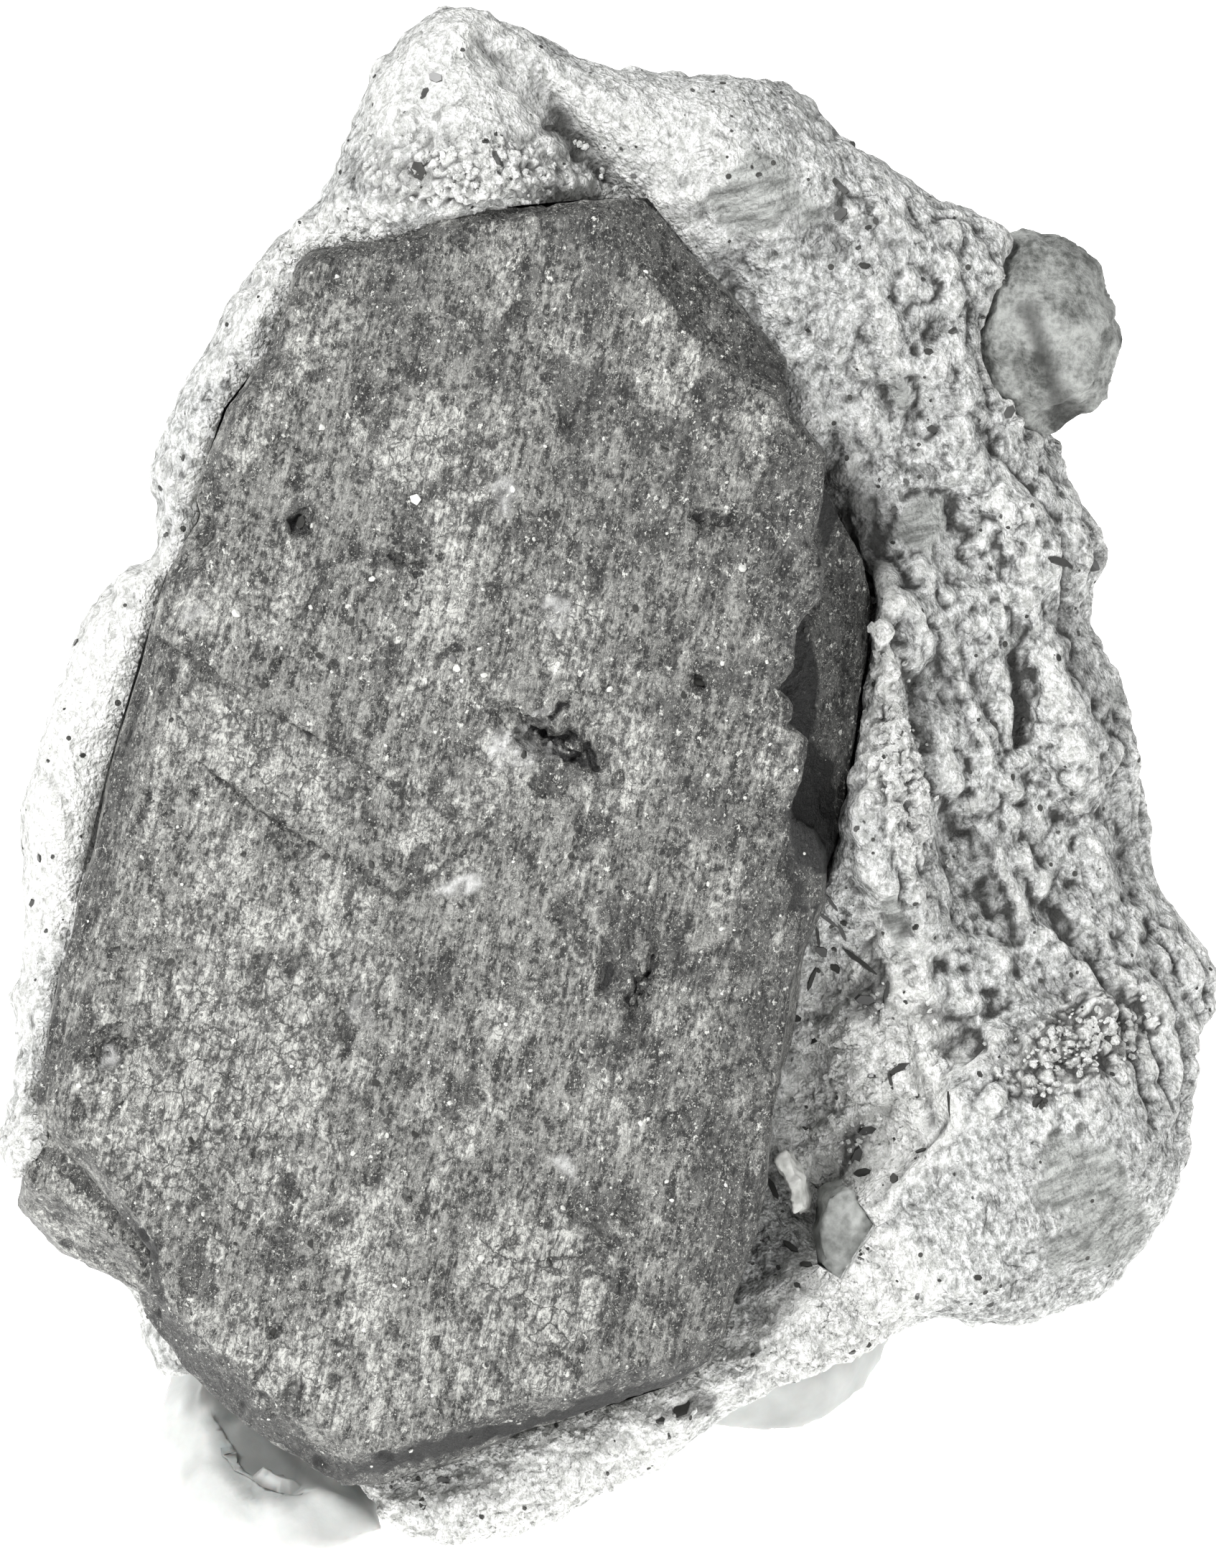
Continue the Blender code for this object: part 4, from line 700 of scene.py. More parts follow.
print("crystal:", len(crystal_points), "points")

# %% [markdown]
# ## The crystal's skin
#
# Three kinds of relief: fine growth lines along the axis, thin shells a twentieth of a millimetre thick that
# have flaked off in steps, and weathering pits. Cracks are narrow cuts. The depth of each is close to real,
# and light from the side makes it show.

# %% Crystal relief
SHELL, PIT, STEP_CUT, CRACK_CUT = 0.05, 0.22, 0.18, 0.14
axis_points = turned(crystal_points, AXIS)
skin = 0.045 * ripple(axis_points, 0.75, 11, (1, 10, 3)) + 0.03 * ripple(axis_points, 0.45, 12, (1, 5, 2))
skin += 0.10 * ripple(axis_points, 6.0, 13, (1, 1.6, 1)) + 0.035 * ripple(axis_points, 1.3, 14, (1, 1.5, 1))
level = 7 * ripple(axis_points, 9.0, 15, (1, 2.2, 1)) + 2.5 * ripple(axis_points, 2.6, 16, (1, 1.6, 1))
shell = np.floor(level) + smooth(0.40, 0.60, level - np.floor(level))
skin += SHELL * shell
pits = smooth(0.62, 0.85, ripple(axis_points, 1.5, 17, (1, 1.5, 1)))
skin -= PIT * pits
bend = wandering(crystal_face, crystal_points, 0.12, 0.9, 18)
for line in CLEAVAGE + CRACKS:
    skin -= (STEP_CUT if line in CLEAVAGE else CRACK_CUT) * near(bend, line, 0.17)
print("skin relief in mm, from", round(float(skin.min()), 2), "to", round(float(skin.max()), 2))

# %% [markdown]
# ## Pale, dark and crusted places
#
# The patches are placed where the specimen has them: milky ovals, the large pale field at the lower left,
# dark pits with mica, and white crust round the pit in the middle. The broad, weak dark ovals make the top
# and the right of the face darker. The lists are ovals with a strength, as for the rock.
#
# - `HOLES` are the pits that the CAD part has as smooth bowls: middle, reach, turn, depth, and the share of
#   the depth that is filled again with jagged stubs.
# - `CLEFTS` are the black splits in and round them. The first four belong to the large pit and are deepest.
# - The bevel rims are painted shade where the skin bends over a bevel: a line, its half width and a strength.
# - `VOID` are painted shadow: the black places under the jagged right edge, where light hardly gets in.

# %% Crystal patches
PALE = [((-30.0, 18.6), (2.6, 1.6), -45, 0.6), ((-29.5, 24.0), (2.6, 3.0), -45, 0.6),
        ((-19.5, 12.0), (3.4, 2.6), -42, 0.7), ((-10.6, 63.2), (3.4, 3.6), 0, 0.75),
        ((-2.6, 55.6), (1.9, 2.4), 10, 0.85), ((-22.5, 28.5), (6.5, 9.5), -20, 0.8),
        ((-19.5, 40.0), (5.5, 6.0), -20, 0.35), ((-3.6, 16.2), (3.2, 4.0), -10, 0.9),
        ((4.6, 69.0), (0.6, 3.4), -16, 0.85), ((3.0, 66.2), (1.4, 1.7), 0, 0.6),
        ((-20.4, 47.4), (4.8, 2.6), -33, 0.75), ((-7.6, 44.2), (4.2, 1.6), 20, 0.55),
        ((-9.8, 40.0), (1.8, 1.0), 15, 0.8), ((-6.0, 46.5), (1.6, 2.4), -10, 0.7),
        ((-18.8, 69.6), (1.2, 1.4), 0, 0.6), ((-20.0, 66.0), (0.7, 3.0), -20, 0.55),
        ((-25.6, 46.0), (1.0, 5.6), -14, 0.5), ((-8.6, 24.5), (0.8, 4.4), -20, 0.6),
        ((-11.5, 10.0), (6.5, 3.0), 14, 0.25), ((-22.0, 9.5), (3.4, 2.4), -40, 0.5),
        ((-4.4, 32.8), (2.0, 2.0), 0, 0.45), ((10.0, 47.2), (1.3, 1.0), 0, 0.6),
        ((-6.3, 72.0), (0.6, 2.6), -18, 0.5), ((-1.8, 48.0), (5.0, 5.0), 0, 0.25),
        ((-14.5, 17.5), (3.4, 5.0), -14, 0.4)]
DARK = [((6.0, 52.0), (7.0, 22.0), -4, 0.30), ((4.0, 66.0), (8.0, 8.0), 0, 0.30),
        ((-8.0, 73.0), (10.0, 6.0), 8, 0.35), ((-9.0, 56.0), (7.0, 9.0), 0, 0.15),
        ((2.0, 22.0), (6.0, 14.0), -8, 0.25), ((-24.8, 17.6), (1.5, 2.6), 15, 0.7),
        ((-17.8, 60.8), (0.7, 1.0), -10, 0.9), ((6.0, 60.8), (1.6, 0.8), 0, 0.85),
        ((0.7, 36.2), (0.9, 2.6), -6, 0.9), ((1.2, 31.4), (1.0, 2.2), -4, 0.85),
        ((5.3, 51.4), (0.6, 0.8), 0, 0.9), ((-19.4, 13.7), (0.5, 0.4), 0, 1.0),
        ((-2.9, 48.3), (1.6, 0.6), -25, 1.3), ((-1.0, 46.9), (1.0, 0.7), -45, 1.3),
        ((-3.4, 45.9), (1.4, 0.9), 30, 0.8), ((-5.0, 60.2), (2.8, 1.4), -20, 0.55),
        ((-13.4, 58.6), (1.2, 0.5), -20, 0.75), ((-17.0, 69.0), (1.4, 0.5), 20, 0.6),
        ((-7.4, 70.2), (0.6, 2.0), -14, 0.6), ((-23.5, 64.5), (1.6, 5.0), -20, 0.35),
        ((-12.8, 51.4), (0.4, 3.0), -14, 0.4), ((-10.5, 33.0), (1.6, 1.2), 0, 0.5),
        ((-17.6, 22.0), (1.4, 4.6), -14, 0.45), ((-0.4, 24.4), (1.6, 1.2), -30, 0.6),
        ((0.6, 18.4), (1.0, 4.0), -14, 0.6), ((6.8, 12.4), (3.6, 3.4), 0, 0.35),
        ((8.0, 56.0), (2.6, 9.0), -6, 0.25), ((7.0, 67.5), (3.2, 5.6), 30, 0.4),
        ((-3.0, 77.0), (8.0, 2.6), 8, 0.35), ((5.4, 43.8), (2.0, 3.6), -10, 0.35),
        ((-14.0, 64.4), (0.5, 2.2), -16, 0.4), ((-8.8, 28.6), (1.0, 3.0), -14, 0.35),
        ((-6.0, 80.0), (15.0, 9.0), 0, 0.47), ((7.0, 66.0), (8.0, 15.0), -10, 0.47),
        ((9.0, 22.0), (5.0, 15.0), 8, 0.48), ((11.0, 40.0), (4.0, 20.0), 5, 0.44)]
CRUST = [((-5.7, 47.6), (1.3, 1.1), -30, 0.95), ((-4.2, 49.1), (1.2, 0.5), 25, 0.9),
         ((-3.2, 47.3), (1.3, 0.25), -20, 0.7), ((-28.9, 30.0), (0.9, 0.8), -30, 0.9),
         ((-9.2, 39.4), (1.3, 0.5), 20, 0.8), ((-3.0, 55.8), (0.8, 0.9), 0, 0.6),
         ((-24.0, 55.6), (0.7, 0.5), 30, 0.7), ((-6.0, 62.4), (0.5, 1.0), 0, 0.7),
         ((-2.6, 23.4), (1.0, 0.5), -50, 0.6), ((-14.4, 32.6), (0.6, 1.0), 0, 0.4)]
HOLES = [((-4.0, 48.3), (2.4, 1.2), -25, 1.6, 0.3), ((-28.9, 30.2), (1.7, 1.2), 60, 1.1, 0.4),
         ((-17.8, 60.7), (0.9, 0.8), 0, 0.7, 0.2), ((6.1, 60.6), (1.6, 0.8), -10, 0.8, 0.4),
         ((1.6, 33.2), (3.4, 0.9), 75, 0.9, 0.95), ((-11.5, 58.4), (1.5, 0.8), -30, 0.5, 0.4),
         ((0.8, 19.8), (1.6, 1.0), 30, 0.6, 0.7)]
CLEFTS = [[(-5.0, 49.3), (-3.9, 48.6), (-2.9, 48.2), (-2.2, 48.6), (-1.2, 47.7), (-0.8, 46.6)],
          [(-2.6, 48.2), (-1.7, 46.9)], [(-3.8, 47.5), (-2.9, 47.2), (-1.4, 46.5)],
          [(-3.4, 49.4), (-2.8, 50.0), (-2.3, 50.1)], [(-9.6, 44.0), (-8.4, 43.7)],
          [(-7.4, 57.2), (-6.2, 56.9), (-5.0, 57.2)], [(5.0, 60.9), (6.2, 60.4), (7.3, 60.7)],
          [(1.2, 36.5), (0.9, 35.4)], [(1.9, 34.9), (1.5, 33.7), (1.8, 33.1)], [(0.9, 33.2), (1.2, 32.1)],
          [(2.2, 31.8), (1.7, 30.6)], [(0.2, 34.6), (-0.3, 33.6)], [(-18.2, 60.9), (-17.5, 60.4)],
          [(5.1, 51.8), (5.5, 51.0)], [(-12.6, 58.9), (-11.4, 58.4), (-10.4, 58.1)],
          [(-26.9, 45.0), (-25.9, 44.2)], [(-14.6, 40.6), (-12.2, 39.0), (-9.6, 40.6), (-6.8, 43.2)],
          [(8.3, 36.0), (7.9, 34.6)], [(-16.4, 31.8), (-16.9, 30.6)],
          [(-2.2, 20.6), (-1.0, 20.2), (0.2, 19.4)]]
EDGE_SHADES = [([(-26.4, 53.7), (-30.0, 41.2), (-32.2, 32.3), (-33.3, 27.0)], 0.5, 0.9),
         ([(-32.8, 24.5), (-29.5, 21.3), (-26.6, 18.6), (-26.2, 15.4)], 0.6, 1.2),
         ([(-26.2, 14.2), (-21.4, 9.4), (-16.0, 5.3)], 1.3, 1.15),
         ([(-16.0, 5.3), (-6.0, 7.9), (2.0, 10.0), (6.8, 11.8)], 0.9, 1.2),
         ([(7.6, 13.4), (10.2, 28.0), (12.0, 38.0)], 0.6, 0.6)]
VOID = [((12.9, 63.0), (0.6, 3.0), -6, 1.9), ((10.9, 52.4), (0.9, 3.2), 8, 1.9),
        ((10.6, 49.0), (1.0, 1.6), 0, 1.9), ((11.4, 44.6), (1.2, 3.2), 4, 1.9),
        ((12.3, 42.0), (0.9, 1.8), 0, 1.9)]

# %% [markdown]
# The pits are filled and torn first, then the clefts are cut. After that the skin's three painted values are
# put together. The dark value also carries painted shade: in the low parts of the torn pits and in the
# weathering pits, along the bevel rims, under the jagged right edge, and on sides that turn away from the
# viewer. Those sides are darker, more on the right than the left, and have no milk.

# %% Tear the pits and paint the crystal
CLEFT_CUT = 0.40
DEEP_CLEFTS = 4
pale = front * zone(crystal_face, PALE, 30, ragged=0.45, edge=0.3)
dark = front * zone(crystal_face, DARK, 30, ragged=0.5, edge=0.35)
crust = front * zone(crystal_face, CRUST, 30, ragged=0.5, edge=0.3)
broken = smooth(-0.1, 0.25, ripple(crystal_points, 0.7, 40))
crust *= 0.25 + 0.75 * broken
cracks = np.max([near(crystal_face, line, 0.22) for line in CLEAVAGE + CRACKS], axis=0)
cracks *= smooth(-0.5, 0.2, ripple(crystal_points, 1.6, 42))
skin += 0.30 * crust * grains(crystal_points, 0.5, 41) - 0.25 * smooth(0.4, 1.3, dark) * front
torn = front * zone(crystal_face, [hole[:3] for hole in HOLES], ragged=0.5)
for middle, reach, turn, depth, share in HOLES:
    skin += front * share * depth * np.clip(1.5 - 1.5 * from_middle(crystal_face, middle, reach, turn), 0, 1)
jags = billow(crystal_points, 1.1, 43) + 0.6 * billow(crystal_points, 0.6, 44)
skin += torn * (0.5 * jags - 0.3)
bend = wandering(crystal_face, crystal_points, 0.3, 0.8, 45)
cleft = front * np.max([(1.0 if i < DEEP_CLEFTS else 0.55) * near(bend, line, 0.36)
                        for i, line in enumerate(CLEFTS)], axis=0)
skin -= CLEFT_CUT * cleft
# Painted shade in the low parts of the torn pits and painted light on their jagged tops; the clefts go black.
dark += torn * np.clip(0.7 - 1.4 * jags, -0.4, 0.7) + 1.7 * cleft
crust *= 1 - cleft
# Painted shade along the bevel rims.
rim = front * 0
for line, reach, weight in EDGE_SHADES:
    rim = np.maximum(rim, weight * smooth(0.0, 0.6, near(bend, line, reach)))
dark += rim * (crystal_normals @ OUT > 0.1)
# Painted shade on sides that turn away from the viewer, stronger where they face right.
side = 1 - smooth(0.70, 0.985, crystal_normals @ OUT)
side_shade = side * np.where(crystal_normals[:, 0] < -0.2, 0.3, 0.5)
# Painted shadow under the jagged right edge, black in the VOID ovals; painted shade in the weathering pits too.
under = (crystal_face[:, 2] < -0.8) & (crystal_face[:, 0] > 8) & (crystal_face[:, 1] > 38)
void = under * zone(crystal_face, VOID, 30, ragged=0.25, edge=0.3)
dark = np.clip(dark + 0.6 * cracks * front + 0.5 * pits + side_shade + 0.55 * under + void, 0, 2)
pale = pale * (1 - side)
write(crystal_mesh, crystal_points + crystal_normals * skin[:, None])
paint(crystal_mesh, "pale", np.clip(pale, 0, 1))
paint(crystal_mesh, "dark", dark)
paint(crystal_mesh, "crust", np.clip(crust, 0, 1))
shown("sanidine_plate", crystal_mesh, sanidine, "sanidine_crystal")
crystal_skin = tree_of(crystal_mesh)

# %% [markdown]
# ## The grey lump at the upper right
#
# This lump is an enclave: a rounded piece of an older, finer and darker rock that the lava carried. It is
# mid grey and granular, without the white felt of the trachyte. Painted shade darkens its left side, where
# it meets the trachyte, a patch at its lower end and its hollows.

# %% Enclave
def enclave_material():
    """Mid-grey fine rock with darker and lighter grains, and painted shade."""
    stone, output = new_material("andesite_enclave")
    in_mm = in_millimetres(stone)
    grain = add(stone, "TexNoise", {"Vector": in_mm, "Scale": 1 / 0.45, "Detail": 5, "Roughness": 0.65}).outputs[0]
    cloud = add(stone, "TexNoise", {"Vector": in_mm, "Scale": 1 / 2.6, "Detail": 2}).outputs[0]
    shade_and_stain = add(stone, "Attribute", attribute_name="shade_and_stain").outputs["Fac"]
    tone = add(stone, "Math", {0: grain, 1: cloud}, operation="ADD").outputs[0]
    tone = add(stone, "MapRange", {0: tone, 1: 0.78, 2: 1.22}).outputs[0]
    grey = add(stone, "Mix", {0: tone, 6: linear("#5a5c59"), 7: linear("#b4b6b3")}, data_type="RGBA").outputs[2]
    grey = add(stone, "Mix", {0: shade_and_stain, 6: grey, 7: linear("#2b2b29")}, data_type="RGBA").outputs[2]
    relief = add(stone, "Bump", {"Height": grain, "Strength": 1.0, "Distance": 0.30 * MM}).outputs[0]
    skin = add(stone, "BsdfPrincipled", {"Base Color": grey, "Roughness": 0.9, "IOR": 1.52, "Normal": relief})
    stone.node_tree.links.new(skin.outputs[0], output.inputs[0])
    return stone


lump_mesh = remade("lump", "grey_enclave", 0.3, rounds=3)
lump_points, lump_normals = read(lump_mesh)
lump_face = to_face(lump_points)
lumpy = 0.55 * (0.4 - billow(lump_points, 3.4, 51)) + 0.25 * (0.4 - billow(lump_points, 1.4, 52))
lumpy += 0.06 * ripple(lump_points, 0.6, 53)
write(lump_mesh, lump_points + lump_normals * lumpy[:, None])
# Painted shade on the left side, at the lower end and in the hollows.
shadow_side = np.max([near(lump_face, [(24.4, 73.0), (25.6, 69.5), (26.4, 66.5)], 1.0),
                      0.9 * patch(lump_face, (26.6, 67.2), (1.0, 1.6), 20, seed=54)], axis=0)
paint(lump_mesh, "shade_and_stain", 0.75 * shadow_side + 0.35 * smooth(0.15, 0.5, -lumpy))
shown("enclave", lump_mesh, enclave_material(), "grey_enclave")

# %% [markdown]
# ## The two small feldspars in the hollow
#
# In the hollow at the lower right sit a small grey feldspar with a smooth cleavage face and a thin, curved
# white blade. The grey one is the same mineral as the big crystal but fresh, so it is smoother and glassier.
# The blade is white right through and slightly sugary. Both are pressed a little flatter towards the rock,
# the higher a point the more: that is `SINK`, a share of the height.

# %% Small crystals
def feldspar_material(name, low, high, roughness):
    """A small feldspar: faint clouds in one tone, fine grain, and the given gloss."""
    stone, output = new_material(name)
    in_mm = in_millimetres(stone)
    cloud = add(stone, "TexNoise", {"Vector": in_mm, "Scale": 1 / 1.2, "Detail": 5, "Roughness": 0.6}).outputs[0]
    tone = add(stone, "MapRange", {0: cloud, 1: 0.36, 2: 0.64}).outputs[0]
    skin = add(stone, "Mix", {0: tone, 6: linear(low), 7: linear(high)}, data_type="RGBA").outputs[2]
    relief = add(stone, "Bump", {"Height": cloud, "Strength": 0.8, "Distance": 0.15 * MM}).outputs[0]
    body = add(stone, "BsdfPrincipled", {"Base Color": skin, "Roughness": roughness, "IOR": 1.52, "Normal": relief})
    stone.node_tree.links.new(body.outputs[0], output.inputs[0])
    return stone


SINK = {"recess_crystal": 0.3, "blade_crystal": 0.1}
for name, node, voxel, slot, finish in (
        ("small_sanidine", "recess_crystal", 0.16, "small_feldspar", ("#7b7d7a", "#b6b8b5", 0.5)),
        ("feldspar_blade", "blade_crystal", 0.12, "white_feldspar", ("#c9cac5", "#fafaf6", 0.7))):
    small = remade(name, node, voxel, rounds=1)
    spots, outward = read(small)
    small_relief = 0.25 * ripple(spots, 1.6, 55) + 0.10 * ripple(spots, 0.5, 56)
    height = spots @ OUT
    sink = SINK[node] * (height - height.min())
    write(small, spots + outward * small_relief[:, None] - sink[:, None] * OUT)
    shown(name, small, feldspar_material(name, *finish), node)

# %% [markdown]
# ## The putty
#
# White mounting putty is an oily, filled wax: smooth, slightly satin, with soft folds where fingers pressed
# it. Light goes a little way into it, which softens its shadows. Dust and single dark grains stick to it. The
# left lump has a dent beside the crystal's foot, darkened with painted shade.

# %% Putty
def putty_material():
    """Soft white putty with faint smears, a few dark grains, and painted shade in its dent."""
    wax, output = new_material("mounting_putty")
    in_mm = in_millimetres(wax)
    smear = add(wax, "TexNoise", {"Vector": in_mm, "Scale": 1 / 3.0, "Detail": 4}).outputs[0]
    print_line = add(wax, "TexNoise", {"Vector": in_mm, "Scale": 1 / 0.35, "Detail": 2}).outputs[0]
    grit = add(wax, "TexVoronoi", {"Vector": in_mm, "Scale": 1 / 2.4})
    size = add(wax, "MapRange", {0: grit.outputs["Color"], 1: 0.7, 2: 1.0, 3: 0.0, 4: 0.08}).outputs[0]
    dust = add(wax, "Math", {0: grit.outputs["Distance"], 1: size}, operation="LESS_THAN").outputs[0]
    tone = add(wax, "MapRange", {0: smear, 1: 0.3, 2: 0.7}).outputs[0]
    white = add(wax, "Mix", {0: tone, 6: linear("#b2b4b2"), 7: linear("#cdcfcd")}, data_type="RGBA").outputs[2]
    white = add(wax, "Mix", {0: dust, 6: white, 7: linear("#6a6a67")}, data_type="RGBA").outputs[2]
    dent_shade = add(wax, "Attribute", attribute_name="dent_shade").outputs["Fac"]
    white = add(wax, "Mix", {0: dent_shade, 6: white, 7: linear("#70716f")}, data_type="RGBA").outputs[2]
    relief = add(wax, "Bump", {"Height": print_line, "Strength": 0.25, "Distance": 0.08 * MM}).outputs[0]
    body = add(wax, "BsdfPrincipled", {"Base Color": white, "Roughness": 0.55, "IOR": 1.45, "Normal": relief,
                                       "Subsurface Weight": 0.15, "Subsurface Scale": 1.0 * MM})
    wax.node_tree.links.new(body.outputs[0], output.inputs[0])
    return wax


DENT = ((-20.6, 6.6), (3.4, 1.9), -42)
DENT_DEPTH = 0.9
putty = putty_material()
for name, node in (("putty_roll", "putty_left"), ("putty_pad", "putty_right")):
    soft = remade(name, node, 0.4, rounds=10)
    spots, outward = read(soft)
    creased = turned(spots, math.radians(-40))
    press = 0.35 * ripple(spots, 5.0, 57) - 0.30 * billow(creased, 2.8, 58, (1, 4, 1)) + 0.02 * ripple(spots, 0.9, 59)
    dent = (outward @ OUT > 0.2) * patch(to_face(spots), *DENT)
    write(soft, spots + outward * (press - DENT_DEPTH * dent)[:, None])
    # Painted shade in the dent under the crystal's foot.
    paint(soft, "dent_shade", 0.6 * dent)
    shown(name, soft, putty, node)

# %% [markdown]
# ## Loose detail
#
# Mica grows as thin dark six-sided flakes, and pyroxene as black rods. Both are too small for the CAD part.
# Each one is set on the finished surface by looking from the eye at its place on the face, so that it
# touches what carries it. All the flakes are one mesh, and so are the rods, the white crumbs and the grains.

# %% Loose detail tools
chance = np.random.default_rng(7)


def touch(u, v, *trees):
    """Where the eye's line through face place u, v first meets one of the surfaces, and the normal there."""
    sight = Vector(point(u, v) - eye).normalized()
    hits = [t.ray_cast(Vector(eye), sight, 700.0) for t in trees]
    hits = [h for h in hits if h[0] is not None]
    if not hits:
        return None, None
    best = min(hits, key=lambda h: h[3])
    return best[0], best[1]


def bit(sides, length, width, thick):
    """A small prism: points round a six-sided or four-sided outline, top and bottom."""
    ring = [(math.cos(a) * length / 2, math.sin(a) * width / 2) for a in
            (2 * math.pi * (k + chance.uniform(-0.2, 0.2)) / sides for k in range(sides))]
    spots = [(x, y, z) for z in (-thick / 2, thick / 2) for x, y in ring]
    walls = [(k, (k + 1) % sides, sides + (k + 1) % sides, sides + k) for k in range(sides)]
    return spots, [tuple(range(sides))[::-1], tuple(range(sides, 2 * sides)), *walls]


def scattered(name, bits, material):
    """One mesh of many small bits. Each bit is (place, normal, lean, spots, faces)."""
    spots, faces = [], []
    for place, normal, lean, own, own_faces in bits:
        stand = normal.to_track_quat("Z", "Y").to_matrix() @ Matrix.Rotation(chance.uniform(0, 6.3), 3, "Z")
        stand = stand @ Matrix.Rotation(lean, 3, "X")
        first = len(spots)
        spots += [(place + stand @ Vector(p)) * MM for p in own]
        faces += [tuple(first + k for k in face) for face in own_faces]
    mesh = bpy.data.meshes.new(name)
    mesh.from_pydata(spots, [], faces)
    piece = placed(name, mesh, material)
    print(f"{name}: {len(bits)} bits, {len(faces)} faces")
    return piece


# %% [markdown]
# Mica is nearly black here, with a pearly shine on its flat faces, so its roughness is low and its colour
# dark. Under 1 mm across it reads as a dark fleck that glints.

# %% Mica and rods
def plain_mineral(name, low, high, roughness):
    """A mineral for bits under 2 mm: two tones in fine noise."""
    stone, output = new_material(name)
    place = add(stone, "TexCoord").outputs["Object"]
    tone = add(stone, "TexNoise", {"Vector": place, "Scale": 1000 / 0.5, "Detail": 3}).outputs[0]
    skin = add(stone, "Mix", {0: tone, 6: linear(low), 7: linear(high)}, data_type="RGBA").outputs[2]
    body = add(stone, "BsdfPrincipled", {"Base Color": skin, "Roughness": roughness, "IOR": 1.58})
    stone.node_tree.links.new(body.outputs[0], output.inputs[0])
    return stone


mica = plain_mineral("biotite_mica", "#141413", "#4a4a47", 0.35)
MICA = [(-11.0, 81.1, 1.2), (-6.4, 81.8, 1.0), (-3.4, 83.6, 0.8), (13.5, 78.6, 1.0), (13.5, 80.2, 1.3),
        (14.9, 75.6, 0.7), (20.0, 71.8, 0.6), (18.6, 70.6, 0.6), (23.3, 67.1, 0.9), (18.8, 66.1, 0.7),
        (-19.7, 6.6, 0.7), (-18.2, 6.0, 0.8), (-15.9, 4.8, 1.1), (-14.0, 3.9, 1.2), (-9.5, 5.0, 1.0),
        (-10.7, 3.7, 0.9), (4.3, 9.3, 1.4), (3.0, 8.6, 0.8), (-17.8, 60.7, 0.8), (5.3, 51.4, 0.8),
        (-19.4, 13.7, 0.5), (16.4, 28.4, 1.0), (12.4, 35.8, 0.9), (13.2, 34.8, 0.8), (16.6, 22.6, 0.7),
        (24.9, 27.0, 0.8), (25.3, 13.6, 0.5), (28.9, 57.8, 1.1), (-24.8, 87.0, 0.5), (-28.8, 46.0, 0.5),
        (-10.0, 86.5, 0.9), (-10.6, 85.6, 0.7), (-33.0, 41.2, 0.5), (-33.4, 38.6, 0.6), (11.5, 17.6, 0.8)]
bits = []
for u, v, size in MICA + [(chance.uniform(-35, 35), chance.uniform(1, 90), 0.2 + 0.35 * chance.random() ** 2)
                          for _ in range(520)]:
    place, normal = touch(u, v, rock_tree, crystal_skin)
    on_crystal = place is not None and crystal_skin.find_nearest(place)[3] < 0.05
    if place is not None and (size > 0.5 or not on_crystal or chance.random() < 0.1):
        bits.append((place, normal, chance.uniform(-0.9, 0.9), *bit(6, size, size * 0.7, 0.12 + 0.1 * size)))
scattered("mica_flakes", bits, mica)

RODS = [((26.2, 58.4), 1.8, 0.5), ((28.1, 58.2), 1.2, 0.6), ((12.8, 37.6), 1.6, 0.25), ((13.6, 36.9), 1.4, 0.25),
        ((12.2, 36.6), 1.5, 0.22), ((13.0, 38.6), 1.3, 0.22), ((14.6, 35.2), 2.6, 0.3), ((16.2, 33.8), 2.2, 0.25),
        ((11.8, 34.2), 1.6, 0.3), ((10.6, 32.0), 1.3, 0.4), ((14.9, 33.0), 1.2, 0.6), ((12.0, 30.6), 1.0, 0.3),
        ((16.9, 29.0), 1.4, 0.4), ((19.8, 26.9), 1.6, 0.15), ((15.0, 25.4), 1.2, 0.5), ((14.4, 23.9), 1.3, 0.6),
        ((14.8, 22.9), 1.1, 0.5), ((18.2, 24.2), 0.9, 0.3), ((10.6, 18.6), 1.2, 0.4), ((9.6, 22.0), 1.4, 0.4)]
bits = []
for (u, v), length, width in RODS:
    place, normal = touch(u, v, rock_tree)
    if place is not None:
        bits.append((place, normal, chance.uniform(-0.3, 0.3), *bit(6, length, width, width * 0.8)))
scattered("pyroxene_rods", bits, plain_mineral("pyroxene", "#0e0e0d", "#3a3a37", 0.45))

# %% [markdown]
# The white dots on the crystal are crumbs of fresh feldspar stuck to its skin, and the sugary zones of the
# rock are heaps of the same crumbs. A crumb is a coarse ball with its corners pushed about: at 0.2 to 0.6 mm
# no more shape can be seen, only that it catches the light on one side.

# %% White crumbs
crumb_white = plain_mineral("feldspar_crumbs", "#a9aaa5", "#f4f4f0", 0.6)
ball = bmesh.new()
bmesh.ops.create_icosphere(ball, subdivisions=1, radius=0.5)
BALL = [v.co.copy() for v in ball.verts]
BALL_FACES = [tuple(v.index for v in f.verts) for f in ball.faces]
ball.free()


def crumb(size):
    """An uneven small block: a coarse ball with its corners pushed in and out, and flattened."""
    flat = Vector((1, chance.uniform(0.6, 1.0), chance.uniform(0.45, 0.8))) * size
    return [v * flat * chance.uniform(0.65, 1.15) for v in BALL], BALL_FACES


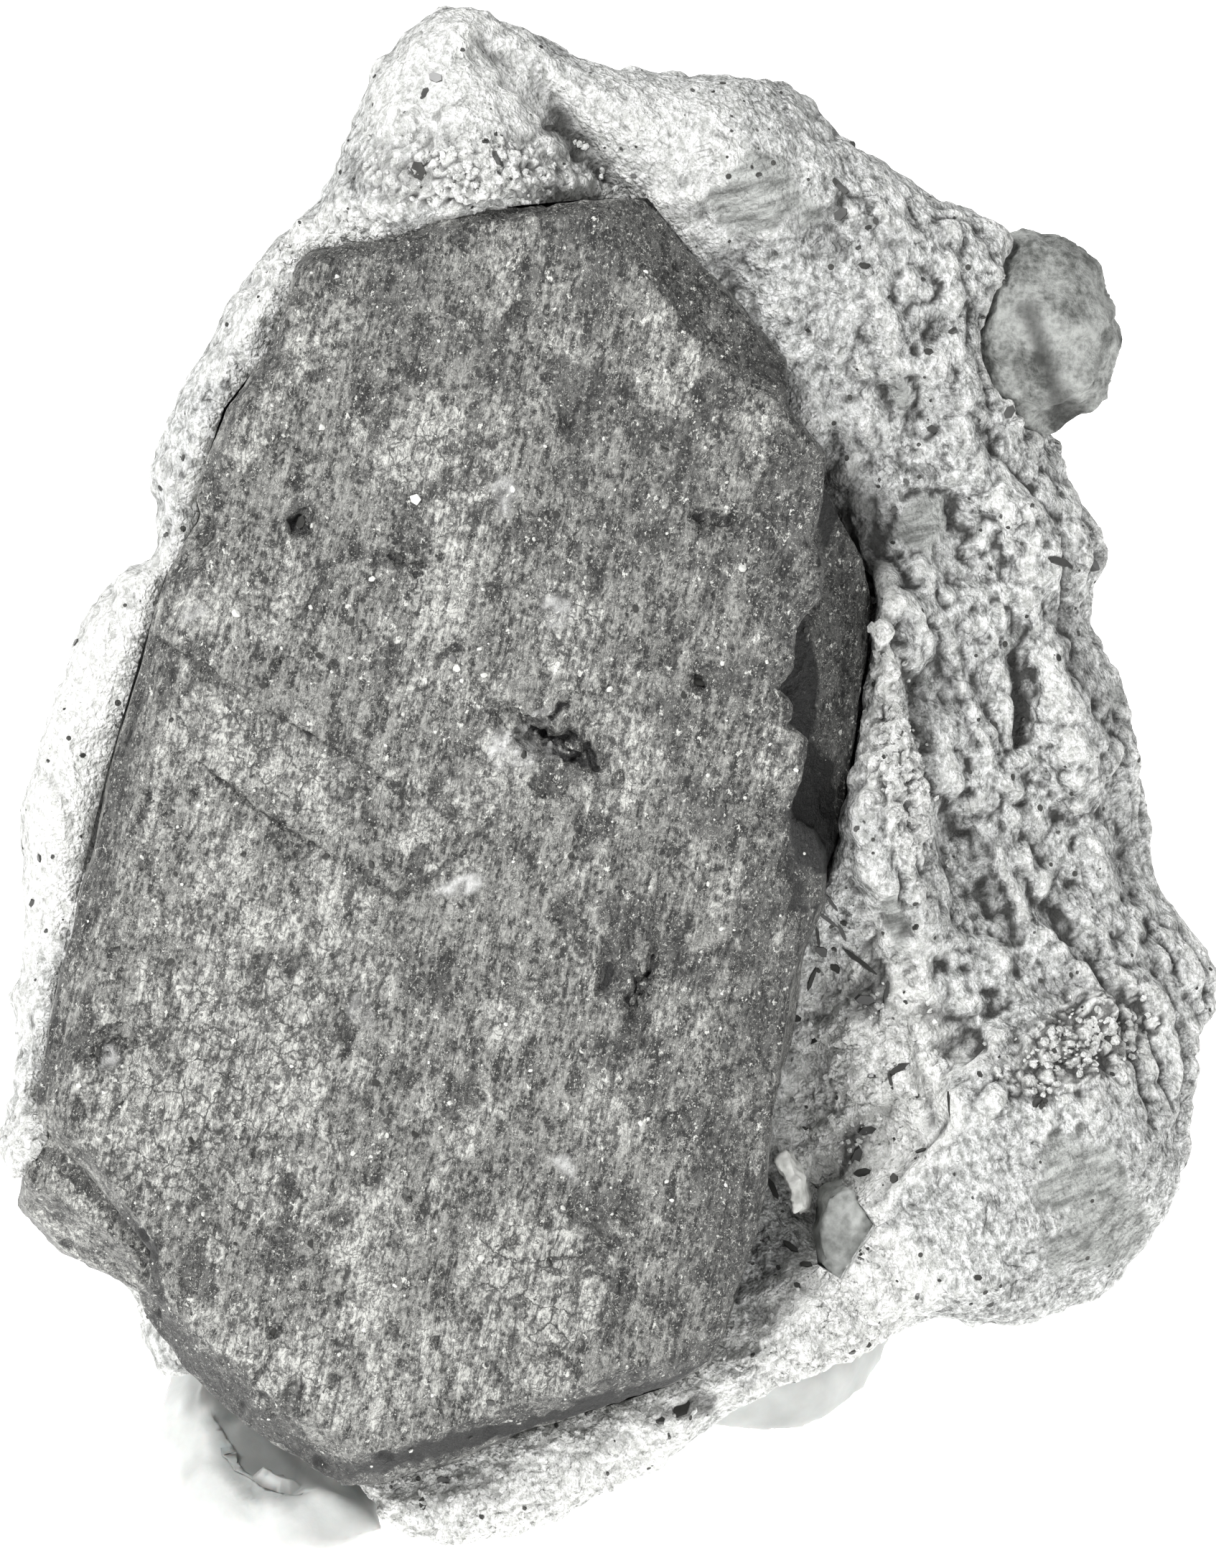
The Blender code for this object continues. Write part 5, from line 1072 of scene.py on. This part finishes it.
DOTS = [(-11.2, 62.0, 0.8), (-13.7, 57.4, 0.6), (-21.6, 55.4, 0.7), (-20.7, 54.0, 0.3), (-16.6, 66.2, 0.6),
        (-8.8, 52.2, 0.6), (-8.5, 51.5, 0.4), (0.1, 51.0, 0.5), (7.8, 58.0, 0.7), (9.4, 47.8, 0.3),
        (5.8, 39.7, 0.4), (-15.6, 12.4, 0.4), (-12.4, 16.4, 0.4), (-9.2, 27.0, 0.4), (1.9, 25.8, 0.4),
        (-5.5, 62.6, 0.6), (-7.2, 51.8, 0.5), (-2.6, 20.9, 0.5), (-7.4, 18.0, 0.5), (-19.0, 78.4, 0.4)]
bits = []
for u, v, size in DOTS + [(chance.uniform(-33, 14), chance.uniform(4, 78), 0.10 + 0.30 * chance.random() ** 4)
                          for _ in range(600)]:
    place, normal = touch(u, v, rock_tree, crystal_skin)
    if place is not None and crystal_skin.find_nearest(place)[3] < 0.02:
        bits.append((place, normal, chance.uniform(-0.4, 0.4), *crumb(size)))
scattered("white_specks", bits, crumb_white)

bits = []
for middle, reach, turn in CRUSHED:
    c, s = math.cos(math.radians(turn)), math.sin(math.radians(turn))
    for _ in range(int(16 * reach[0] * reach[1])):
        a, b = np.clip(chance.normal(0, 0.5, 2), -1.1, 1.1) * reach
        place, normal = touch(middle[0] + a * c - b * s, middle[1] + a * s + b * c, rock_tree, crystal_skin)
        if place is not None and crystal_skin.find_nearest(place)[3] > 0.15:
            bits.append((place, normal, chance.uniform(-0.6, 0.6), *crumb(0.25 + 0.55 * chance.random() ** 2)))
crushed_bits = scattered("crushed_grains", bits, trachyte)
paint(crushed_bits.data, "fresh_and_highlight", chance.uniform(0.3, 1.0, len(crushed_bits.data.vertices)))

# %% [markdown]
# ## The stage
#
# A white table and a white room, with one small soft lamp at the upper left, as in the photo of the specimen.
# A weaker and wider lamp at the lower right keeps the hollows readable. The camera looks straight at the
# crystal's face from half a metre away.

# %% Table, lamps and camera
TABLE_GLOW = 0.95
ROOM_LIGHT = 0.36


def table_top():
    """A wide, plain, nearly white table."""
    white, output = new_material("white_card")
    tooth = add(white, "TexNoise", {"Scale": 900.0, "Detail": 2}).outputs[0]
    bump = add(white, "Bump", {"Height": tooth, "Strength": 0.1, "Distance": 0.05 * MM}).outputs[0]
    card = add(white, "BsdfPrincipled", {"Base Color": linear("#fbfbfa"), "Roughness": 0.9, "Normal": bump,
                                           "Emission Color": linear("#ffffff"),
                                           "Emission Strength": TABLE_GLOW})
    white.node_tree.links.new(card.outputs[0], output.inputs[0])
    mesh = bpy.data.meshes.new("table")
    corners = [(-3, -3, 0), (3, -3, 0), (3, 3, 0), (-3, 3, 0)]
    mesh.from_pydata(corners, [], [(0, 1, 2, 3)])
    mesh.materials.append(white)
    top = bpy.data.objects.new("table", mesh)
    bpy.context.collection.objects.link(top)


def lamp(name, direction, distance, size, watts):
    """An area lamp that faces the specimen. direction is across, up and out of the crystal's face."""
    light = bpy.data.lights.new(name, "AREA")
    light.size, light.energy = size, watts
    away = Vector((direction[0], *(direction[1] * UP[1:] + direction[2] * OUT[1:]))).normalized()
    target = Vector(point(0, EYE_V) * MM)
    holder = bpy.data.objects.new(name, light)
    bpy.context.collection.objects.link(holder)
    holder.location = target + away * distance
    holder.rotation_euler = (-away).to_track_quat("-Z", "Y").to_euler()


table_top()
lamp("key", (-0.50, 0.62, 0.80), 0.7, 0.20, 5.2)
lamp("fill", (0.55, -0.45, 0.80), 0.8, 0.45, 2.6)
room = bpy.data.worlds.new("white_room")
room.use_nodes = True
room.node_tree.nodes["Background"].inputs["Color"].default_value = linear("#ffffff")
room.node_tree.nodes["Background"].inputs["Strength"].default_value = ROOM_LIGHT
bpy.context.scene.world = room
bpy.context.scene.view_settings.view_transform = "Standard"

FRAME_HEIGHT = 91.0
lens = bpy.data.cameras.new("camera")
lens.sensor_width = 36.0
lens.lens = 36.0 * EYE_DISTANCE / FRAME_HEIGHT
lens.clip_start = 0.01
camera = bpy.data.objects.new("camera", lens)
bpy.context.collection.objects.link(camera)
camera.location = Vector(eye * MM)
camera.rotation_euler = (math.pi / 2 - LEAN, 0, 0)
bpy.context.scene.camera = camera
print("lens:", round(lens.lens, 1), "mm")
